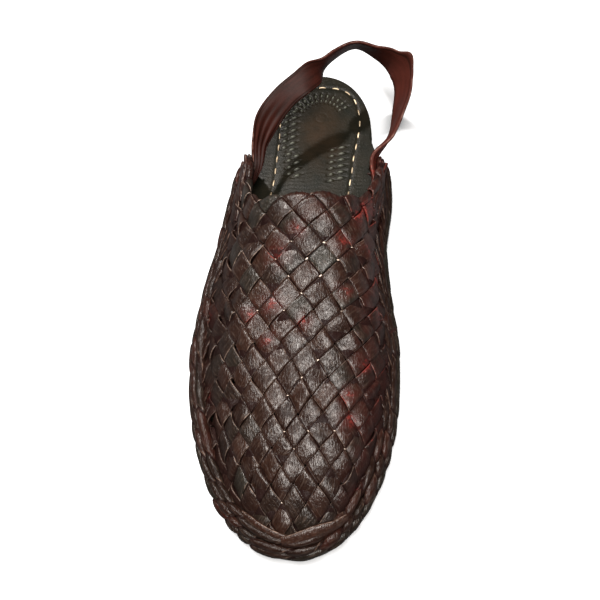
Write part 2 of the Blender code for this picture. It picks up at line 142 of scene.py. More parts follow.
# Smooth step from 0 to 1 between two values
def ease(low, high, value):
    f = np.clip((np.asarray(value) - low) / (high - low), 0.0, 1.0)
    return f * f * (3 - 2 * f)


# Bell of height 1: exp(-(x / width)^2)
def bell(x, width):
    return np.exp(-((x / width) ** 2))


# Vectors brought to length 1
def unit(vectors):
    return vectors / np.maximum(np.linalg.norm(vectors, axis=-1, keepdims=True), 1e-12)


# Distance travelled along a path, at each of its points
def travelled(path):
    return np.concatenate(([0.0], np.cumsum(np.linalg.norm(np.diff(path, axis=0), axis=1))))


# Right-hand normals of a flat path
def pathNormals(path):
    ahead = np.gradient(path, axis=0)
    return unit(np.column_stack((ahead[:, 1], -ahead[:, 0])))


# Reach of the sole to one side: its stations, closed by an elliptic heel and a rounder toe
def soleReach(way, fromHeel):
    reach = tableCurve(soleStations, 1 if way < 0 else 2, fromHeel)
    heel = np.clip((last["heelRound"] - fromHeel) / last["heelRound"], 0.0, 1.0)
    reach = reach * np.sqrt(1.0 - heel**2)
    start = last["toeStart"][way]
    toe = np.clip((fromHeel - start) / (last["length"] - start), 0.0, 1.0)
    middle = way * last["toeOffset"]
    power = last["toePower"][way]
    rounded = (reach - middle) * (1.0 - toe**power) ** (1.0 / power) + middle
    return np.where(fromHeel > start, rounded, reach)


# Outline of the sole moved inwards along its normal, from the heel down the big-toe side and back
def soleOutline(inset, count=400):
    turn = np.linspace(0.0, math.pi, count + 1)
    along = 0.5 * last["length"] * (1.0 - np.cos(turn))
    big = np.column_stack((soleReach(1, along), along))
    little = np.column_stack((-soleReach(-1, along), along))[::-1]
    loop = np.vstack((big, little[1:-1]))
    ahead = np.roll(loop, -1, axis=0) - np.roll(loop, 1, axis=0)
    normal = unit(np.column_stack((-ahead[:, 1], ahead[:, 0])))
    return loop + normal * np.broadcast_to(inset, len(loop))[:, None]


# Both sides of a moved outline, each ordered from heel to toe: {-1: little toe, 1: big toe}
def bothSides(inset):
    loop = soleOutline(inset)
    half = len(loop) // 2
    return {1: loop[: half + 1], -1: np.vstack((loop[half:], loop[:1]))[::-1]}


def sideAt(track, fromHeel):
    return np.interp(fromHeel, track[:, 1], track[:, 0])


# First and last station where both sides of an outline are there
def commonSpan(sides):
    return max(sides[1][0, 1], sides[-1][0, 1]), min(sides[1][-1, 1], sides[-1][-1, 1])


# Underside of the sole: level at heel and ball, a low sine-squared arch and a toe that springs up
def soleLift(fromHeel):
    arch = np.clip((fromHeel - last["archFrom"]) / (last["archTo"] - last["archFrom"]), 0.0, 1.0)
    toe = np.clip((fromHeel - last["springFrom"]) / (last["length"] - last["springFrom"]), 0.0, 1.0)
    return last["archRise"] * np.sin(math.pi * arch) ** 2 + last["springRise"] * toe**1.8


# Where the upper and the footbed stand: just above the sole's top
def footHeight(fromHeel):
    return soleLift(fromHeel) + last["soleThickness"] + last["gap"]


# The CAD frame is centred on the shoe's box: the outsole's own box gives the shift
rimSides = bothSides(last["soleInset"])
soleLow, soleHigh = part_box("outsole")
shiftX = soleLow.x - rimSides[-1][:, 0].min()
shiftY = soleHigh.y - (last["length"] / 2 - rimSides[1][:, 1].min())


# The shoe's own measures to the frame's X, Y and Z
def toWorld(side, fromHeel, height):
    return np.stack((side + shiftX, last["length"] / 2 - fromHeel + shiftY, height + 0.0 * side), axis=-1)


# Surface of the last under the upper. Each cross section falls from the crest to the foot line:
# height = foot + (crest - foot) * (1 - X^crown)^footPower, with X from 0 at the crest to 1 at the foot.
# The grid holds points at equal shares of the way down each flank, for a run of stations.
class UpperSurface:
    def __init__(self):
        self.tracks = bothSides(last["edgeWidth"] + last["gap"])
        self.toeEnd = commonSpan(self.tracks)[1]
        body = np.linspace(last["gridFrom"], last["noseFrom"], last["bodyStations"])
        left = np.linspace(1.0, 0.0, last["noseStations"])[1:] ** 2
        nose = self.toeEnd - (self.toeEnd - last["noseFrom"]) * left
        self.stations = np.concatenate((body, nose))
        self.columns = last["columns"]
        halves = {}
        self.flank = {}
        for way in (-1, 1):
            halves[way], self.flank[way] = self.flankGrid(way)
        self.grid = np.concatenate((halves[-1][:, :0:-1], halves[1]), axis=1)
        self.normals = unit(np.cross(np.gradient(self.grid, axis=0), np.gradient(self.grid, axis=1)))
        steps = self.stations[self.stations > last["collarAt"]]
        self.crestStations = np.concatenate(([last["collarAt"]], steps))
        height = self.crest(self.crestStations)[0]
        self.crestTravel = travelled(np.column_stack((self.crestStations, height)))

    # Height and side of the crest, which falls to the foot line at the toe in a rounded arc
    def crest(self, fromHeel):
        toe = (fromHeel - last["roundStart"]) / (self.toeEnd - last["roundStart"])
        fall = (1.0 - np.clip(toe, 0.0, 1.0) ** last["roundPower"]) ** (1.0 / last["roundPower"])
        foot = footHeight(fromHeel)
        height = foot + (tableCurve(upperSections, 1, fromHeel) - foot) * fall
        return height, tableCurve(upperSections, 2, fromHeel)

    def flankGrid(self, way):
        crown, footPower = last["flank"][way]
        share = 1.0 - (1.0 - np.linspace(0.0, 1.0, last["flankSteps"])) ** 2.2
        height, side = self.crest(self.stations)
        foot = footHeight(self.stations)
        footSide = sideAt(self.tracks[way], self.stations)
        sides = side[:, None] + (footSide - side)[:, None] * share
        rise = (1.0 - share**crown) ** footPower
        if way > 0:   # the big-toe wing stands out
            span = last["flareEnd"] - last["shoulderAt"]
            back = np.clip((last["flareEnd"] - self.stations) / span, 0.0, 1.0) ** 1.3
            sides = sides + last["flare"] * back[:, None] * np.clip((rise - 0.18) / 0.35, 0.0, 1.0)
        heights = foot[:, None] + (height - foot)[:, None] * rise
        shares = np.linspace(0.0, 1.0, self.columns)
        grid = np.zeros((len(self.stations), self.columns, 3))
        lengths = np.zeros(len(self.stations))
        for row, station in enumerate(self.stations):
            travel = travelled(np.column_stack((sides[row], heights[row])))
            wanted = shares * travel[-1]
            lengths[row] = travel[-1]
            rowSides = np.interp(wanted, travel, sides[row])
            rowHeights = np.interp(wanted, travel, heights[row])
            grid[row] = toWorld(rowSides, np.full(self.columns, station), rowHeights)
        return grid, lengths

    # Length of the flank that an arc from the crest lies on; a negative arc is on the little-toe side
    def flankAt(self, arc, fromHeel):
        little, big = (np.interp(fromHeel, self.stations, self.flank[way]) for way in (-1, 1))
        return np.where(arc < 0.0, little, big)

    # Arc at a share of the way down one flank
    def arcAt(self, way, share, fromHeel):
        return way * share * self.flankAt(np.full(len(fromHeel), float(way)), fromHeel)

    # Point and normal at an arc down the flank and a distance from the heel
    def at(self, arc, fromHeel):
        fromHeel = np.clip(fromHeel, self.stations[0], self.toeEnd)
        reach = np.clip(arc / np.maximum(self.flankAt(arc, fromHeel), 1e-5), -1.0, 1.0)
        row = np.interp(fromHeel, self.stations, np.arange(len(self.stations)))
        column = (reach + 1.0) * (self.columns - 1)
        r = np.minimum(row.astype(int), len(self.stations) - 2)
        c = np.minimum(column.astype(int), 2 * self.columns - 3)
        fr = (row - r)[..., None]
        fc = (column - c)[..., None]
        found = []
        for grid in (self.grid, self.normals):
            upperRow = grid[r, c] * (1 - fc) + grid[r, c + 1] * fc
            lowerRow = grid[r + 1, c] * (1 - fc) + grid[r + 1, c + 1] * fc
            found.append(upperRow * (1 - fr) + lowerRow * fr)
        return found[0], unit(found[1])


form = UpperSurface()
print("last worked out")


# Faces of a tube through rings of profile points, capped at both ends
def tubeFaces(ringCount, profileCount):
    index = np.arange(ringCount * profileCount).reshape(ringCount, profileCount)
    near, far = index[:-1], index[1:]
    quads = np.stack((near, np.roll(near, -1, axis=1), np.roll(far, -1, axis=1), far), axis=-1)
    return quads.reshape(-1, 4).tolist() + [index[0][::-1].tolist(), index[-1].tolist()]


# Faces turned to point outwards, told by the sign of the volume that they close in
def outwardFaces(points, faces):
    quads = np.array([face for face in faces if len(face) == 4])
    a, b, c, d = (points[quads[:, k]] for k in range(4))
    volume = np.einsum("ij,ij->", a, np.cross(b, c)) + np.einsum("ij,ij->", a, np.cross(c, d))
    return [face[::-1] for face in faces] if volume < 0.0 else faces


def makeMesh(name, points, faces, material, uv=None, values=None, merge=0.0):
    mesh = bpy.data.meshes.new(name)
    mesh.from_pydata(points.tolist(), [], faces)
    for key, data in (values or {}).items():
        attribute = mesh.attributes.new(key, "FLOAT", "POINT")
        attribute.data.foreach_set("value", np.asarray(data, np.float32).ravel())
    if uv is not None:
        corner = np.zeros(len(mesh.loops), np.int32)
        mesh.loops.foreach_get("vertex_index", corner)
        layer = mesh.uv_layers.new(name="surface")
        layer.data.foreach_set("uv", uv[corner].astype(np.float32).ravel())
    if merge > 0.0:
        work = bmesh.new()
        work.from_mesh(mesh)
        bmesh.ops.remove_doubles(work, verts=work.verts, dist=merge)
        bmesh.ops.dissolve_degenerate(work, edges=work.edges, dist=merge)
        work.to_mesh(mesh)
        work.free()
    mesh.shade_smooth()
    mesh.materials.append(material)
    piece = bpy.data.objects.new(name, mesh)
    bpy.context.scene.collection.objects.link(piece)
    return piece


# Joins several closed tubes into one mesh. A tube is rings of profile points, with named values
# and a pair of UV arrays that spread over them.
class Batch:
    def __init__(self):
        self.points = []
        self.faces = []
        self.uv = []
        self.values = {}
        self.count = 0

    def addTube(self, points, values=None, uv=(0.0, 0.0)):
        spread = np.zeros(points.shape[:2])
        points = points.reshape(-1, 3)
        for face in outwardFaces(points, tubeFaces(*spread.shape)):
            self.faces.append([corner + self.count for corner in face])
        self.points.append(points)
        self.uv.append(np.stack([part + spread for part in uv], axis=-1).reshape(-1, 2))
        for key, data in (values or {}).items():
            self.values.setdefault(key, []).append((data + spread).ravel())
        self.count += len(points)

    def make(self, name, material):
        joined = {key: np.concatenate(data) for key, data in self.values.items()}
        return makeMesh(name, np.vstack(self.points), self.faces, material, np.vstack(self.uv), joined)


# Points of tubes: a path with two directions across it, and how far each ring reaches along both
def carried(path, wide, thick, x, y):
    return path[:, None, :] + wide[:, None, :] * x[:, :, None] + thick[:, None, :] * y[:, :, None]


# Output of a node. Values add, subtract and multiply like numbers.
class Value:
    def __init__(self, nodes, socket):
        self.nodes = nodes
        self.socket = socket

    def combine(self, operation, a, b):
        return self.nodes.value("ShaderNodeMath", {0: a, 1: b}, operation=operation)

    def __add__(self, other):
        return self.combine("ADD", self, other)

    def __sub__(self, other):
        return self.combine("SUBTRACT", self, other)

    def __rsub__(self, other):
        return self.combine("SUBTRACT", other, self)

    def __mul__(self, other):
        return self.combine("MULTIPLY", self, other)

    def clamped(self):
        self.socket.node.use_clamp = True
        return self


# Adds nodes to the tree of a material or a group
class Nodes:
    def __init__(self, tree):
        self.tree = tree

    def feed(self, socket, value):
        if isinstance(value, Value):
            self.tree.links.new(value.socket, socket)
        else:
            socket.default_value = value

    def add(self, kind, inputs=None, **settings):
        node = self.tree.nodes.new(kind)
        for key, value in settings.items():
            setattr(node, key, value)
        for key, value in (inputs or {}).items():
            self.feed(node.inputs[key], value)
        return node

    def value(self, kind, inputs, output=0, **settings):
        return Value(self, self.add(kind, inputs, **settings).outputs[output])

    # Noise, on coordinates stretched by three factors where they are given
    def noise(self, vector, scale, detail=2.0, stretch=None, roughness=0.5):
        if stretch is not None:
            vector = self.value("ShaderNodeMapping", {"Vector": vector, "Scale": stretch})
        inputs = {"Vector": vector, "Scale": scale, "Detail": detail, "Roughness": roughness}
        return self.value("ShaderNodeTexNoise", inputs)

    def mix(self, factor, a, b):
        inputs = {0: factor, 6: a, 7: b}
        return self.value("ShaderNodeMix", inputs, 2, data_type="RGBA", blend_type="MIX")

    def bump(self, height, distance, under=None):
        inputs = {"Height": height, "Distance": distance}
        if under is not None:
            inputs["Normal"] = under
        return self.value("ShaderNodeBump", inputs)

    def read(self, name):
        return self.value("ShaderNodeAttribute", None, "Fac", attribute_name=name)


def newGroup(name, inputs, outputs):
    tree = bpy.data.node_groups.new(name, "ShaderNodeTree")
    for socket in inputs:
        kind = "NodeSocketVector" if socket == "Vector" else "NodeSocketFloat"
        tree.interface.new_socket(name=socket, in_out="INPUT", socket_type=kind)
    for socket in outputs:
        tree.interface.new_socket(name=socket, in_out="OUTPUT", socket_type="NodeSocketFloat")
    group = Nodes(tree)
    source = group.add("NodeGroupInput")
    target = group.add("NodeGroupOutput")
    return group, [Value(group, source.outputs[key]) for key in inputs], target.inputs


# Leather grain: small cells of the hide, broken by finer noise; also a slow blotchy tone
def makeGrainGroup():
    group, (place, scale), target = newGroup("leatherGrain", ("Vector", "Scale"), ("Height", "Tone"))
    inputs = {"Vector": place, "Scale": scale}
    cells = group.value("ShaderNodeTexVoronoi", inputs, "Distance", feature="SMOOTH_F1")
    group.feed(target["Height"], cells * 0.7 + group.noise(place, scale * 2.7, 3.0))
    group.feed(target["Tone"], group.noise(place, scale * 0.16, 4.0))
    return group.tree


# Rubbed edges: the mask grows from an edge value and is broken up by noise
def makeWearGroup():
    inputs = ("Vector", "Edge", "Scale", "Amount")
    group, (place, edge, scale, amount), target = newGroup("rubbedEdges", inputs, ("Mask",))
    noise = group.noise(place, scale, 5.0, roughness=0.65)
    group.feed(target["Mask"], ((noise + edge * 0.55 - (1.12 - amount)) * 5.0).clamped())
    return group.tree


grainGroup = makeGrainGroup()
wearGroup = makeWearGroup()


# Material whose nodes are added by name: place is the object's own coordinates, uv the surface's
class Material(Nodes):
    def __init__(self, name, roughness=0.5):
        self.material = bpy.data.materials.new(name)
        self.material.use_nodes = True
        super().__init__(self.material.node_tree)
        coordinates = self.add("ShaderNodeTexCoord")
        self.place = Value(self, coordinates.outputs["Object"])
        self.uv = Value(self, coordinates.outputs["UV"])
        self.set({"Roughness": roughness})

    def set(self, inputs):
        for key, value in inputs.items():
            self.feed(self.tree.nodes["Principled BSDF"].inputs[key], value)

    # Height and blotchy tone of the leather grain
    def grain(self, scale):
        node = self.add("ShaderNodeGroup", {"Vector": self.place, "Scale": scale}, node_tree=grainGroup)
        return Value(self, node.outputs["Height"]), Value(self, node.outputs["Tone"])

    def wear(self, edge, scale, amount):
        inputs = {"Vector": self.place, "Edge": edge, "Scale": scale, "Amount": amount}
        return self.value("ShaderNodeGroup", inputs, node_tree=wearGroup)

    # Thin wax on leather: the coat carries most of the shine and follows the larger part of the relief
    def shine(self, finish, bump, waxBump=None):
        self.set({
            "Normal": bump,
            "Specular IOR Level": finish["specular"],
            "Coat Weight": finish["coat"],
            "Coat IOR": finish["coatIOR"],
            "Coat Roughness": finish["coatRoughness"],
        })
        if waxBump is not None:
            self.set({"Coat Normal": waxBump})


stripFinish = {
    "deep": (0.0030, 0.0013, 0.0009, 1.0),
    "brown": (0.0125, 0.0054, 0.0034, 1.0),
    "moss": (0.0085, 0.0088, 0.0066, 1.0),
    "oxblood": (0.0150, 0.0025, 0.0018, 1.0),
    "edge": (0.092, 0.066, 0.053, 1.0),
    "red": (0.066, 0.009, 0.007, 1.0),
    "scuff": (0.052, 0.038, 0.030, 1.0),
    # near-black colour of the painted shade where a strip dives and low on the flanks
    "hollow": (0.004, 0.002, 0.002, 1.0),
    "fibreScale": (1900.0, 270.0, 1900.0),
    "scratchScale": (200.0, 1150.0, 1.0),
    "redScale": 640.0,
    "wearScale": 420.0,
    "grainScale": 1400.0,
    "grainDepth": 0.00009,
    "dentScale": 330.0,
    "dentDepth": 0.00030,
    "waxDepth": 0.00009,
    "roughness": 0.36,
    "shadeDulling": 0.88,         # share of the coat's shine lost where painted shade falls: where a strip dives and low on the flanks
    "specular": 0.0,
    "coat": 0.122,
    "coatIOR": 1.8,
    "coatRoughness": 0.30,
}


# Dark waxed leather strips. Tone and noise mix deep and brown, painted shade darkens the creases of the
# wrinkles, rub adds red and cut edges are tan. Painted shade turns a strip nearly black where it dives
# under a neighbour and darkens the lower flanks. Wrinkles are stretched noise in the object's own
# coordinates, and scratches are stretched noise on the UV.
def makeStripMaterial(name, finish):
    leather = Material(name)
    height, blotch = leather.grain(finish["grainScale"])
    fibre = ((leather.noise(leather.place, 1.0, 2.5, finish["fibreScale"]) - 0.38) * 3.6).clamped()
    edge, paintedShade, tone, rub = (leather.read(key) for key in ("edge", "paintedShade", "tone", "rub"))
    color = leather.mix((blotch * 1.1 + tone - 0.25).clamped(), finish["deep"], finish["brown"])
    color = leather.mix((tone * -1.3).clamped(), color, finish["moss"])
    # painted shade: darker in the creases of the wrinkles
    color = leather.mix(fibre * 0.55 + 0.45, finish["deep"], color)
    patchy = (blotch * 3.0 - 0.8).clamped()
    color = leather.mix((rub * patchy).clamped(), color, finish["oxblood"])
    scratch = leather.noise(leather.uv, 1.0, 3.0, finish["scratchScale"])
    color = leather.mix(((scratch - 0.53) * 7.0).clamped() * 0.20, color, finish["scuff"])
    streak = (scratch * 4.0 - 1.1).clamped()
    redness = leather.wear(edge * (blotch * 1.45) * streak, finish["redScale"], rub * 0.70)
    color = leather.mix(redness * 0.8, color, finish["red"])
    cut = leather.wear(edge, finish["wearScale"], 0.25) * (1.0 - rub).clamped()
    color = leather.mix(cut * 0.8, color, finish["edge"])
    # painted shade: near black where a strip dives under its neighbour and low on the flanks
    color = leather.mix(paintedShade * 0.75, color, finish["hollow"])
    wide = leather.bump(leather.noise(leather.place, finish["dentScale"], 1.0), finish["dentDepth"])
    bump = leather.bump(height + fibre * 0.9, finish["grainDepth"], wide)
    leather.shine(finish, bump, leather.bump(fibre, finish["waxDepth"], wide))
    leather.set({
        "Base Color": color,
        "Roughness": height * 0.16 + finish["roughness"] - fibre * 0.12 + redness * 0.15,
        # painted shade also takes shine off the coat there
        "Coat Weight": (1.0 - paintedShade * finish["shadeDulling"]) * (blotch * 1.2 + 0.4) * finish["coat"],
    })
    return leather.material


stripLeather = makeStripMaterial("wovenLeather", stripFinish)
edgeLeather = makeStripMaterial("edgeLeather", {
    **stripFinish,
    "brown": (0.0100, 0.0050, 0.0034, 1.0),
    "edge": (0.0500, 0.0320, 0.0240, 1.0),
    "moss": (0.0042, 0.0050, 0.0036, 1.0),
    "coat": 0.065,
})

# The weave. Strips run in two directions: along i they climb towards the heel on the big-toe side,
# and along j they fall. A cell's column is i + j + 1 and its row is j - i, counted towards the toe.
weave = {
    "firstRow": 0.0294,      # travel along the crest from the collar to row 0
    "rowStep": 0.00765,
    "rowBend": 0.00009,      # rows bend back towards the heel, times the column squared
    "lines": 18,             # strips to each side of the middle, and cells along each
    "cells": 22,
    "cellRings": (0.0, 0.02, 0.05, 0.09, 0.15, 0.23, 0.34, 0.50, 0.66, 0.77, 0.85, 0.91, 0.95, 0.98),
    "fewestRings": 5,
    "flatness": 0.38,        # power of the sine that carries a strip over a cell
    "sway": 0.00032,         # how far the lattice strays from even spacing
    "halfWidth": 0.486,      # of a strip, in cells
    "thickness": 0.00115,
    "middleDepth": 0.00095,  # of the woven layer's middle below the form
    "swing": 0.00054,        # how far a strip goes over and under
    "dip": 0.00012,          # how much lower it is where it dives
    "crown": 0.00030,        # how much higher the middle of a visible cell is
    "lift": 0.00012,         # random height, tilt across and lean along of each cell
    "tilt": 0.00055,
    "lean": 0.00210,
    "foldDepth": 0.0014,     # radius of the fold at the opening
    "smallestFold": 0.00022,
    "probe": 0.0006,
    "tuck": 0.0085,          # length that returns inside
    "edgePoints": 361,
    "scallop": 0.0011,
    "footFlare": 0.0022,     # how far the strips' ends stand out over the roped edge
    "backLimit": 0.044,      # nothing on the wall starts behind this station
    "foldLimit": 0.118,      # the opening's edge lies behind this station
    "batchSize": 8000,       # points whose distance from the edge is worked out at a time
    "toneSpread": 0.16,
    "uvCell": 0.0105,
    "uvHalfWidth": 0.005,
    "uvLine": 0.02,
}

weaveColumns = np.array([   # from heel, column step, drift
    (0.050, 0.0078, 0.0010),
    (0.106, 0.0075, 0.0010),
    (0.134, 0.0072, 0.0004),
    (0.165, 0.0063, -0.0024),
    (0.200, 0.0055, -0.0038),
    (0.260, 0.0052, -0.0028),
])

# Red rubbed places: arc down the flank, from heel, radius
rubbedPlaces = np.array([
    (0.0307, 0.1780, 0.0065),
    (0.0231, 0.1923, 0.0050),
    (0.0250, 0.2030, 0.0060),
    (0.0295, 0.2308, 0.0035),
    (-0.0511, 0.1898, 0.0050),
    (-0.0573, 0.1497, 0.0050),
    (-0.0259, 0.1563, 0.0045),
    (0.0010, 0.1618, 0.0040),
    (0.0400, 0.1010, 0.0110),
    (0.0328, 0.1036, 0.0080),
    (0.0270, 0.1085, 0.0075),
    (-0.0043, 0.1206, 0.0044),
    (0.0175, 0.1244, 0.0058),
    (-0.0129, 0.1309, 0.0060),
    (-0.0141, 0.1538, 0.0058),
    (0.0462, 0.1342, 0.0080),
    (0.0400, 0.1517, 0.0070),
    (0.0194, 0.1472, 0.0045),
    (-0.0145, 0.1703, 0.0045),
    (0.0340, 0.1225, 0.0060),
    (-0.0560, 0.0760, 0.0080),
])


# Cell coordinates to arc and distance from the heel: rows follow the crest, columns run down the flanks
def weavePlace(i, j):
    across = i + j
    travel = weave["firstRow"] + (j - i) * weave["rowStep"] - weave["rowBend"] * across**2
    onCrest = np.interp(travel, form.crestTravel, form.crestStations)
    fromHeel = np.where(travel > 0.0, onCrest, last["collarAt"] + travel)
    fromHeel = fromHeel + np.maximum(travel - form.crestTravel[-1], 0.0)
    step, drift = (tableCurve(weaveColumns, column, fromHeel) for column in (1, 2))
    sway = weave["sway"] * (np.sin(0.9 * i + 1.3 * j + 0.6) + 0.7 * np.sin(1.7 * i - 1.1 * j + 2.0))
    slip = weave["sway"] * (np.sin(1.2 * i - 0.7 * j + 4.0) + 0.7 * np.sin(0.6 * i + 1.9 * j + 1.0))
    return across * step + drift + sway, fromHeel + slip * ease(0.110, 0.125, fromHeel)


# Edge of the opening as arc and distance from the heel, scalloped where each strip folds over
def openingEdge():
    share = np.linspace(-1.0, 1.0, weave["edgePoints"])
    little, big = (tableCurve(collarStations, column, np.abs(share)) for column in (1, 2))
    fromHeel = np.where(share < 0.0, little, big)
    arc = share * form.flankAt(share, fromHeel)
    column = (arc - weaveColumns[1, 2]) / weaveColumns[1, 1]
    bump = np.abs(np.cos(0.5 * math.pi * (column - 1.0)))
    fade = 1.0 - 0.75 * ease(0.40, 0.60, np.abs(share))
    return np.column_stack((arc, fromHeel - weave["scallop"] * (bump - 0.4) * fade))


openingLine = openingEdge()
openingOut = pathNormals(openingLine)


# Distance past the edge of the opening (negative on the wall), nearest edge point and outward way.
# The last axis of places holds arc and distance from the heel.
def pastEdge(places):
    spots = places.reshape(-1, 2)
    run = np.diff(openingLine, axis=0)
    length = np.linalg.norm(run, axis=1)
    distance = np.full(len(spots), -1.0)
    nearest = spots.copy()
    outward = np.tile((0.0, -1.0), (len(spots), 1))
    close = np.flatnonzero(spots[:, 1] < weave["foldLimit"])
    for part in np.array_split(close, max(1, len(close) // weave["batchSize"])):
        offset = spots[part][:, None, :] - openingLine[None, :-1, :]
        f = np.clip((offset * run).sum(axis=2) / length**2, 0.0, 1.0)
        gap = offset - f[:, :, None] * run
        square = (gap**2).sum(axis=2)
        best = square.argmin(axis=1)
        rows = np.arange(len(part))
        share = f[rows, best][:, None]
        way = unit(openingOut[best] * (1 - share) + openingOut[best + 1] * share)
        nearest[part] = openingLine[best] + share * run[best]
        outward[part] = way
        distance[part] = np.sqrt(square[rows, best]) * np.sign((gap[rows, best] * way).sum(axis=1))
    return distance.reshape(places.shape[:-1]), nearest.reshape(places.shape), outward.reshape(places.shape)


# Puts strip points on the shoe. On the wall a point stands off the form by its offset; past the
# edge it turns round the fold, a half circle, and then runs back down the inside.
def layOnShoe(places, offset):
    distance, nearest, outward = pastEdge(places)
    depth = weave["foldDepth"]
    turn = np.clip(distance / depth, 0.0, math.pi)[..., None]
    inside = np.maximum(distance - math.pi * depth, 0.0)[..., None]
    past = distance[..., None] > 0.0
    base = np.where(past, nearest - outward * inside, places)
    point, normal = form.at(base[..., 0], base[..., 1])
    ahead, behind = (base + outward * reach for reach in (weave["probe"], -weave["probe"]))
    tangent = unit(form.at(ahead[..., 0], ahead[..., 1])[0] - form.at(behind[..., 0], behind[..., 1])[0])
    radius = np.maximum(depth + offset, weave["smallestFold"])[..., None]
    folded = point - normal * depth + (normal * np.cos(turn) + tangent * np.sin(turn)) * radius
    return np.where(past, folded, point + normal * offset[..., None])


# Profile round a strip: share of the half width, share of the thickness, how far the cut edge shows
stripProfile = np.array([
    (-1.00, 0.30, 0.15), (-0.985, 0.86, 1.0), (-0.93, 1.00, 0.30), (-0.60, 1.04, 0.0), (-0.20, 1.06, 0.0),
    (0.20, 1.06, 0.0), (0.60, 1.04, 0.0), (0.93, 1.00, 0.30), (0.985, 0.86, 1.0), (1.00, 0.30, 0.15),
    (0.96, 0.00, 0.0), (0.00, -0.02, 0.0), (-0.96, 0.00, 0.0),
])
profileX, profileY, profileEdge = stripProfile.T

# Random values of the cells and strips, which are counted from the middle of each table
middleCell = 40
cellLift, cellTilt, cellLean = (random.normal(size=(80, 80)) for number in range(3))
stripTone = random.normal(size=(2, 80))
cellTone = random.normal(size=(80, 80))


# Pairs are where a change starts and ends: stations, arcs down the flank or shares of the way down it
wearAndShade = {
    # painted shade that darkens the flanks towards the foot; the entries after it are red rub
    "shadeStations": {-1: (0.170, 0.215), 1: (0.125, 0.180)},
    "shadeAmount": {-1: (0.76, 0.14), 1: (0.56, 0.34)},       # near the collar, and what the toe adds
    "shadeHeights": {-1: (0.36, 0.92), 1: (0.52, 0.88)},
    "shadeClimb": {-1: 0.0, 1: 0.22},                   # how far it reaches higher at the toe
    "flankArcs": (0.016, 0.038),
    "flankRub": 0.55,
    "rubSpread": 0.15,
    "collarStations": (0.128, 0.108),
    "collarArcs": (-0.020, 0.010),
    "collarRub": 0.38,
}


# How far painted shade darkens and dulls the flanks, more towards the foot and the toe
def flankShade(arc, fromHeel, low):
    found = {}
    for way in (-1, 1):
        far = ease(*wearAndShade["shadeStations"][way], fromHeel)
        near, added = wearAndShade["shadeAmount"][way]
        top, foot = wearAndShade["shadeHeights"][way]
        found[way] = (near + added * far) * ease(top - wearAndShade["shadeClimb"][way] * far, foot, low)
    return np.where(arc > 0.0, found[1], found[-1])


# How far the leather is rubbed: at the rubbed places, down the big-toe flank and at the collar
def rubbedShare(i, j, arc, fromHeel):
    uneven = wearAndShade["flankRub"] + wearAndShade["rubSpread"] * np.sin(0.7 * i + 1.9 * j)
    flank = ease(*wearAndShade["flankArcs"], arc) * uneven
    collar = ease(*wearAndShade["collarStations"], fromHeel) * ease(*wearAndShade["collarArcs"], arc)
    collar = collar * wearAndShade["collarRub"]
    rub = np.maximum(flank, collar)
    for rubArc, rubHeel, radius in rubbedPlaces:
        rub = np.maximum(rub, bell(np.hypot(arc - rubArc, fromHeel - rubHeel), radius))
    return rub


# One strip as rings of profile points. Its middle swings over and under with a low power of a
# sine wave, so that each visible cell is nearly flat with quick ends.
def stripRings(rising, line, along):
    u = along[:, None] + 0.0 * profileX
    wobble = 0.014 * np.sin(2.1 * u + 1.7 * line) + 0.010 * np.sin(5.3 * u + 0.9 * line)
    narrow = 0.985 - 0.030 * (1.0 + np.sin(1.3 * line + 2.0)) + 0.030 * np.sin(3.1 * u + line)
    across = line + 0.5 + profileX * weave["halfWidth"] * narrow + wobble
    cell = np.floor(u).astype(int)
    phase = u - cell
    spot = (cell + middleCell, line + middleCell)
    i, j = u, across
    if not rising:
        spot, i, j = spot[::-1], across, u
    arc, fromHeel = weavePlace(i, j)
    over = (cell - line) % 2 == int(rising)
    hump = np.clip(np.sin(math.pi * phase), 0.0, 1.0) ** weave["flatness"]
    low = np.abs(arc) / form.flankAt(arc, fromHeel)
    lift = cellLift[spot] * hump * weave["lift"]
    tilt = cellTilt[spot] * hump * weave["tilt"] * (1.0 + 1.2 * ease(0.65, 0.95, low))
    lean = cellLean[spot] * hump * weave["lean"] * (phase - 0.5)
    crown = weave["crown"] * np.sin(math.pi * phase) * over
    height = -weave["middleDepth"] + weave["swing"] * np.where(over, hump, -hump)
    height = height - weave["dip"] * (1.0 - hump) + crown + lift + lean + tilt * profileX
    height = height + weave["footFlare"] * ease(0.86, 1.0, low) ** 2
    # painted shade: a visible cell darkens towards its ends, where the strip dives under its neighbour, and
    # a hidden stretch is dark all along
    paintedShade = np.where(over, 1.0 - ease(0.0, 0.42, hump), 1.0)
    values = {
        "edge": profileEdge + 0.0 * u,
        # painted shade also darkens the lower flanks
        "paintedShade": np.maximum(paintedShade, flankShade(arc, fromHeel, low)),
        "tone": weave["toneSpread"] * (stripTone[int(rising), line + middleCell] + cellTone[spot]),
        "rub": rubbedShare(i, j, arc, fromHeel),
    }
    return np.stack((arc, fromHeel), axis=-1), height + (profileY - 0.5) * weave["thickness"], values


